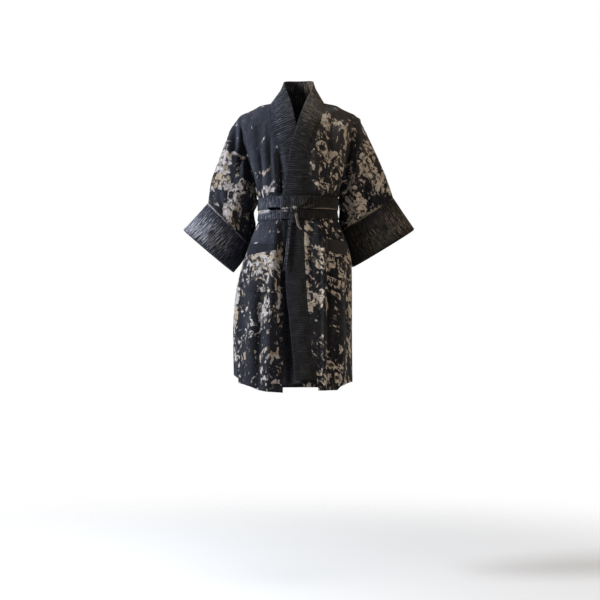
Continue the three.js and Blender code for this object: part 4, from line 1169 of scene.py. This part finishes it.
def makePlainCloth():
    # One dark colour, bluish on one side and brown on the wearer's left, which is painted warm light, with a
    # few lighter yarns
    look = plainLook
    cloth = ClothShader("plainCloth", look)
    slub = cloth.noise(cloth.place, *look["slub"])
    # Brown towards the wearer's left: painted warm light
    ground = cloth.blend(cloth.between("X", *look["warmLitX"]), look["indigo"], look["warmLitBrown"])
    colour = cloth.blend(cloth.times(cloth.step(slub, *look["slubEdge"]), look["slubShare"]), ground,
                         look["slubLight"])
    return cloth.finish(colour, cloth.add(cloth.times(cloth.ribs("X", look["twill"]), 0.5), slub), 0.0004, 0.5)


cloths = dict(mottled=makeMottledCloth(), ribbed=makeRibbedCloth(), plain=makePlainCloth())
print("cloth looks ready")


def cells(cut, closed=False):
    # Places across and down a piece's grid, from 0 to 1, without the last one across where the grid closes
    across, down = cut["cells"]
    return np.meshgrid(np.linspace(0, 1, across if closed else across + 1, endpoint=not closed),
                       np.linspace(0, 1, down + 1))


def finishPiece(piece, node):
    # What the frame is told of a piece. Half of the surface of a closed cloth is the area that it was cut from
    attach(piece, "root")
    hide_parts(node)
    polygons = piece.data.polygons
    areas = np.empty(len(polygons))
    polygons.foreach_get("area", areas)
    print(piece.name, "area", round(float(areas.sum()) / 2, 4), "faces", len(polygons))


def sew(name, node, cloth, cut, middle, thickness, held="hung", **more):
    # One piece of cloth about its middle surface
    finishPiece(clothWall(name, middle, thickness, cloths[cloth], **more), node)


def buildBack():
    middle, x, drop = backSurface(*cells(backPanel))
    sew("backPanel", "back", "mottled", backPanel, middle, backPanel["thickness"], across=uprightWeave(middle),
        density=spots(x, drop, backPanel["light"]), place=backPanel["patternAt"])


def buildFront(side):
    front = fronts[side]
    middle, x, drop = frontSurface(side, *cells(front))
    sew("front" + side.capitalize() + "Panel", "front_" + side, "mottled", front, middle, fronts["thickness"],
        density=spots(x, drop, front["light"]), place=front["patternAt"])


def buildPocket(side):
    # The welt first, then the patch that hangs from just under it, a little nearer to the middle of the robe
    pocket, title = pockets[side], side.capitalize()
    strip = pocket["strip"]
    middle, x, drop = patchSurface(side, pocket["inner"], pocket["outer"], *cells(strip), pocket["top"],
                                   pocket["welt"], pockets["weltStep"])
    sew("pocketWelt" + title, "pocket_welt_" + side, "plain", strip, middle, pockets["weltThickness"])
    inner, outer = (pocket[edge] - sides[side] * pockets["towardMiddle"] for edge in ("inner", "outer"))
    below = [depth + pockets["seam"] for depth in pocket["welt"]]
    hem = (pocket["bottom"], pocket["bottom"] - pockets["hemRise"])
    middle, x, drop = patchSurface(side, inner, outer, *cells(pocket), below, hem, pockets["step"])
    sew("pocket" + title, "pocket_" + side, "mottled", pocket, middle, pockets["thickness"],
        density=spots(x, drop, fronts[side]["light"]) + pockets["moreLight"], place=pocket["patternAt"])


def buildSleeve(side):
    # The sleeve, then its cuff with a pale trim that shows here and there along the seam
    sleeve, cuff, title = sleeves[side], cuffs[side], side.capitalize()
    middle = sleeveSurface(side, *cells(sleeve, True))
    across, down = tubeWeave(middle)
    sew("sleeve" + title, "sleeve_" + side, "mottled", sleeve, middle, sleeves["thickness"], closed=True,
        density=spots(middle[..., 0], -middle[..., 2], sleeve["light"]), place=sleeve["patternAt"],
        across=across, down=down)
    u, v = cells(cuff, True)
    middle = cuffSurface(side, u, v)
    x, drop = middle[..., 0], -middle[..., 2]
    edge, fade = cuffs["trimEdge"]
    trim = cuffs["trim"] * ease((edge - v) / fade) * ease(wander(x, drop, *cuffs["trimWaves"]) + 0.6)
    sew("cuff" + title, "cuff_" + side, "ribbed", cuff, middle, cuffs["thickness"], closed=True, turnWeave=True,
        density=spots(x, drop, cuff["light"]) + trim)


def buildBand():
    # Fewer light yarns down the chest and fewer still below the belt, more high on the wearer's left
    middle, down = bandSurface(*cells(neckband))
    drop = -middle[..., 2]
    light = sum(more * ease((drop - start) / fade) for more, start, fade in neckband["light"])
    more, end, fade, across = neckband["lightLeft"]
    light = light + more * ease(middle[..., 0] / across) * ease((end - drop) / fade)
    sew("neckbandStrip", "neckband", "ribbed", neckband, middle, neckband["thickness"], density=light,
        down=down)


def buildBelt():
    # Both turns, then the long tail, pale along its two edges, the short one, pale all over, and the knot
    for name in ("upper", "lower"):
        turn = belt[name]
        u, v = cells(turn, True)
        middle, x, drop = beltSurface(turn, u, v)
        light = np.where(np.cos(loopAngles(u)) > 0, spots(x, drop, turn["light"]), 0)
        sew("belt" + name.capitalize(), "belt_" + name, "ribbed", turn, middle, belt["thickness"], "folded",
            closed=True, turnWeave=True, density=light)
    for name in ("long", "short"):
        tail = tails[name]
        u, v = cells(tail)
        light, uneven = tails["light"]
        width, length, seed, size = tails["waves"]
        light = light + uneven * wander(u * width, v * length, seed, size)
        if name == "long":
            (edge, edgeFade), (start, startFade) = tails["edge"], tails["below"]
            light = light * ease((np.abs(u - 0.5) - edge) / edgeFade) * ease((v - start) / startFade)
        else:
            light = light + tails["shortMore"]
        sew("beltTail" + name.capitalize(), "belt_tail_" + name, "ribbed", tail, tailSurface(tail, u, v),
            tails["thickness"], density=light)
    finishPiece(knotMesh(cloths["ribbed"]), "belt_knot")


buildBack()
print("back built")
for side in ("right", "left"):
    buildFront(side)
    buildPocket(side)
    buildSleeve(side)
    print(side, "front, pocket and sleeve built")
buildBand()
buildBelt()
print("band and belt built")
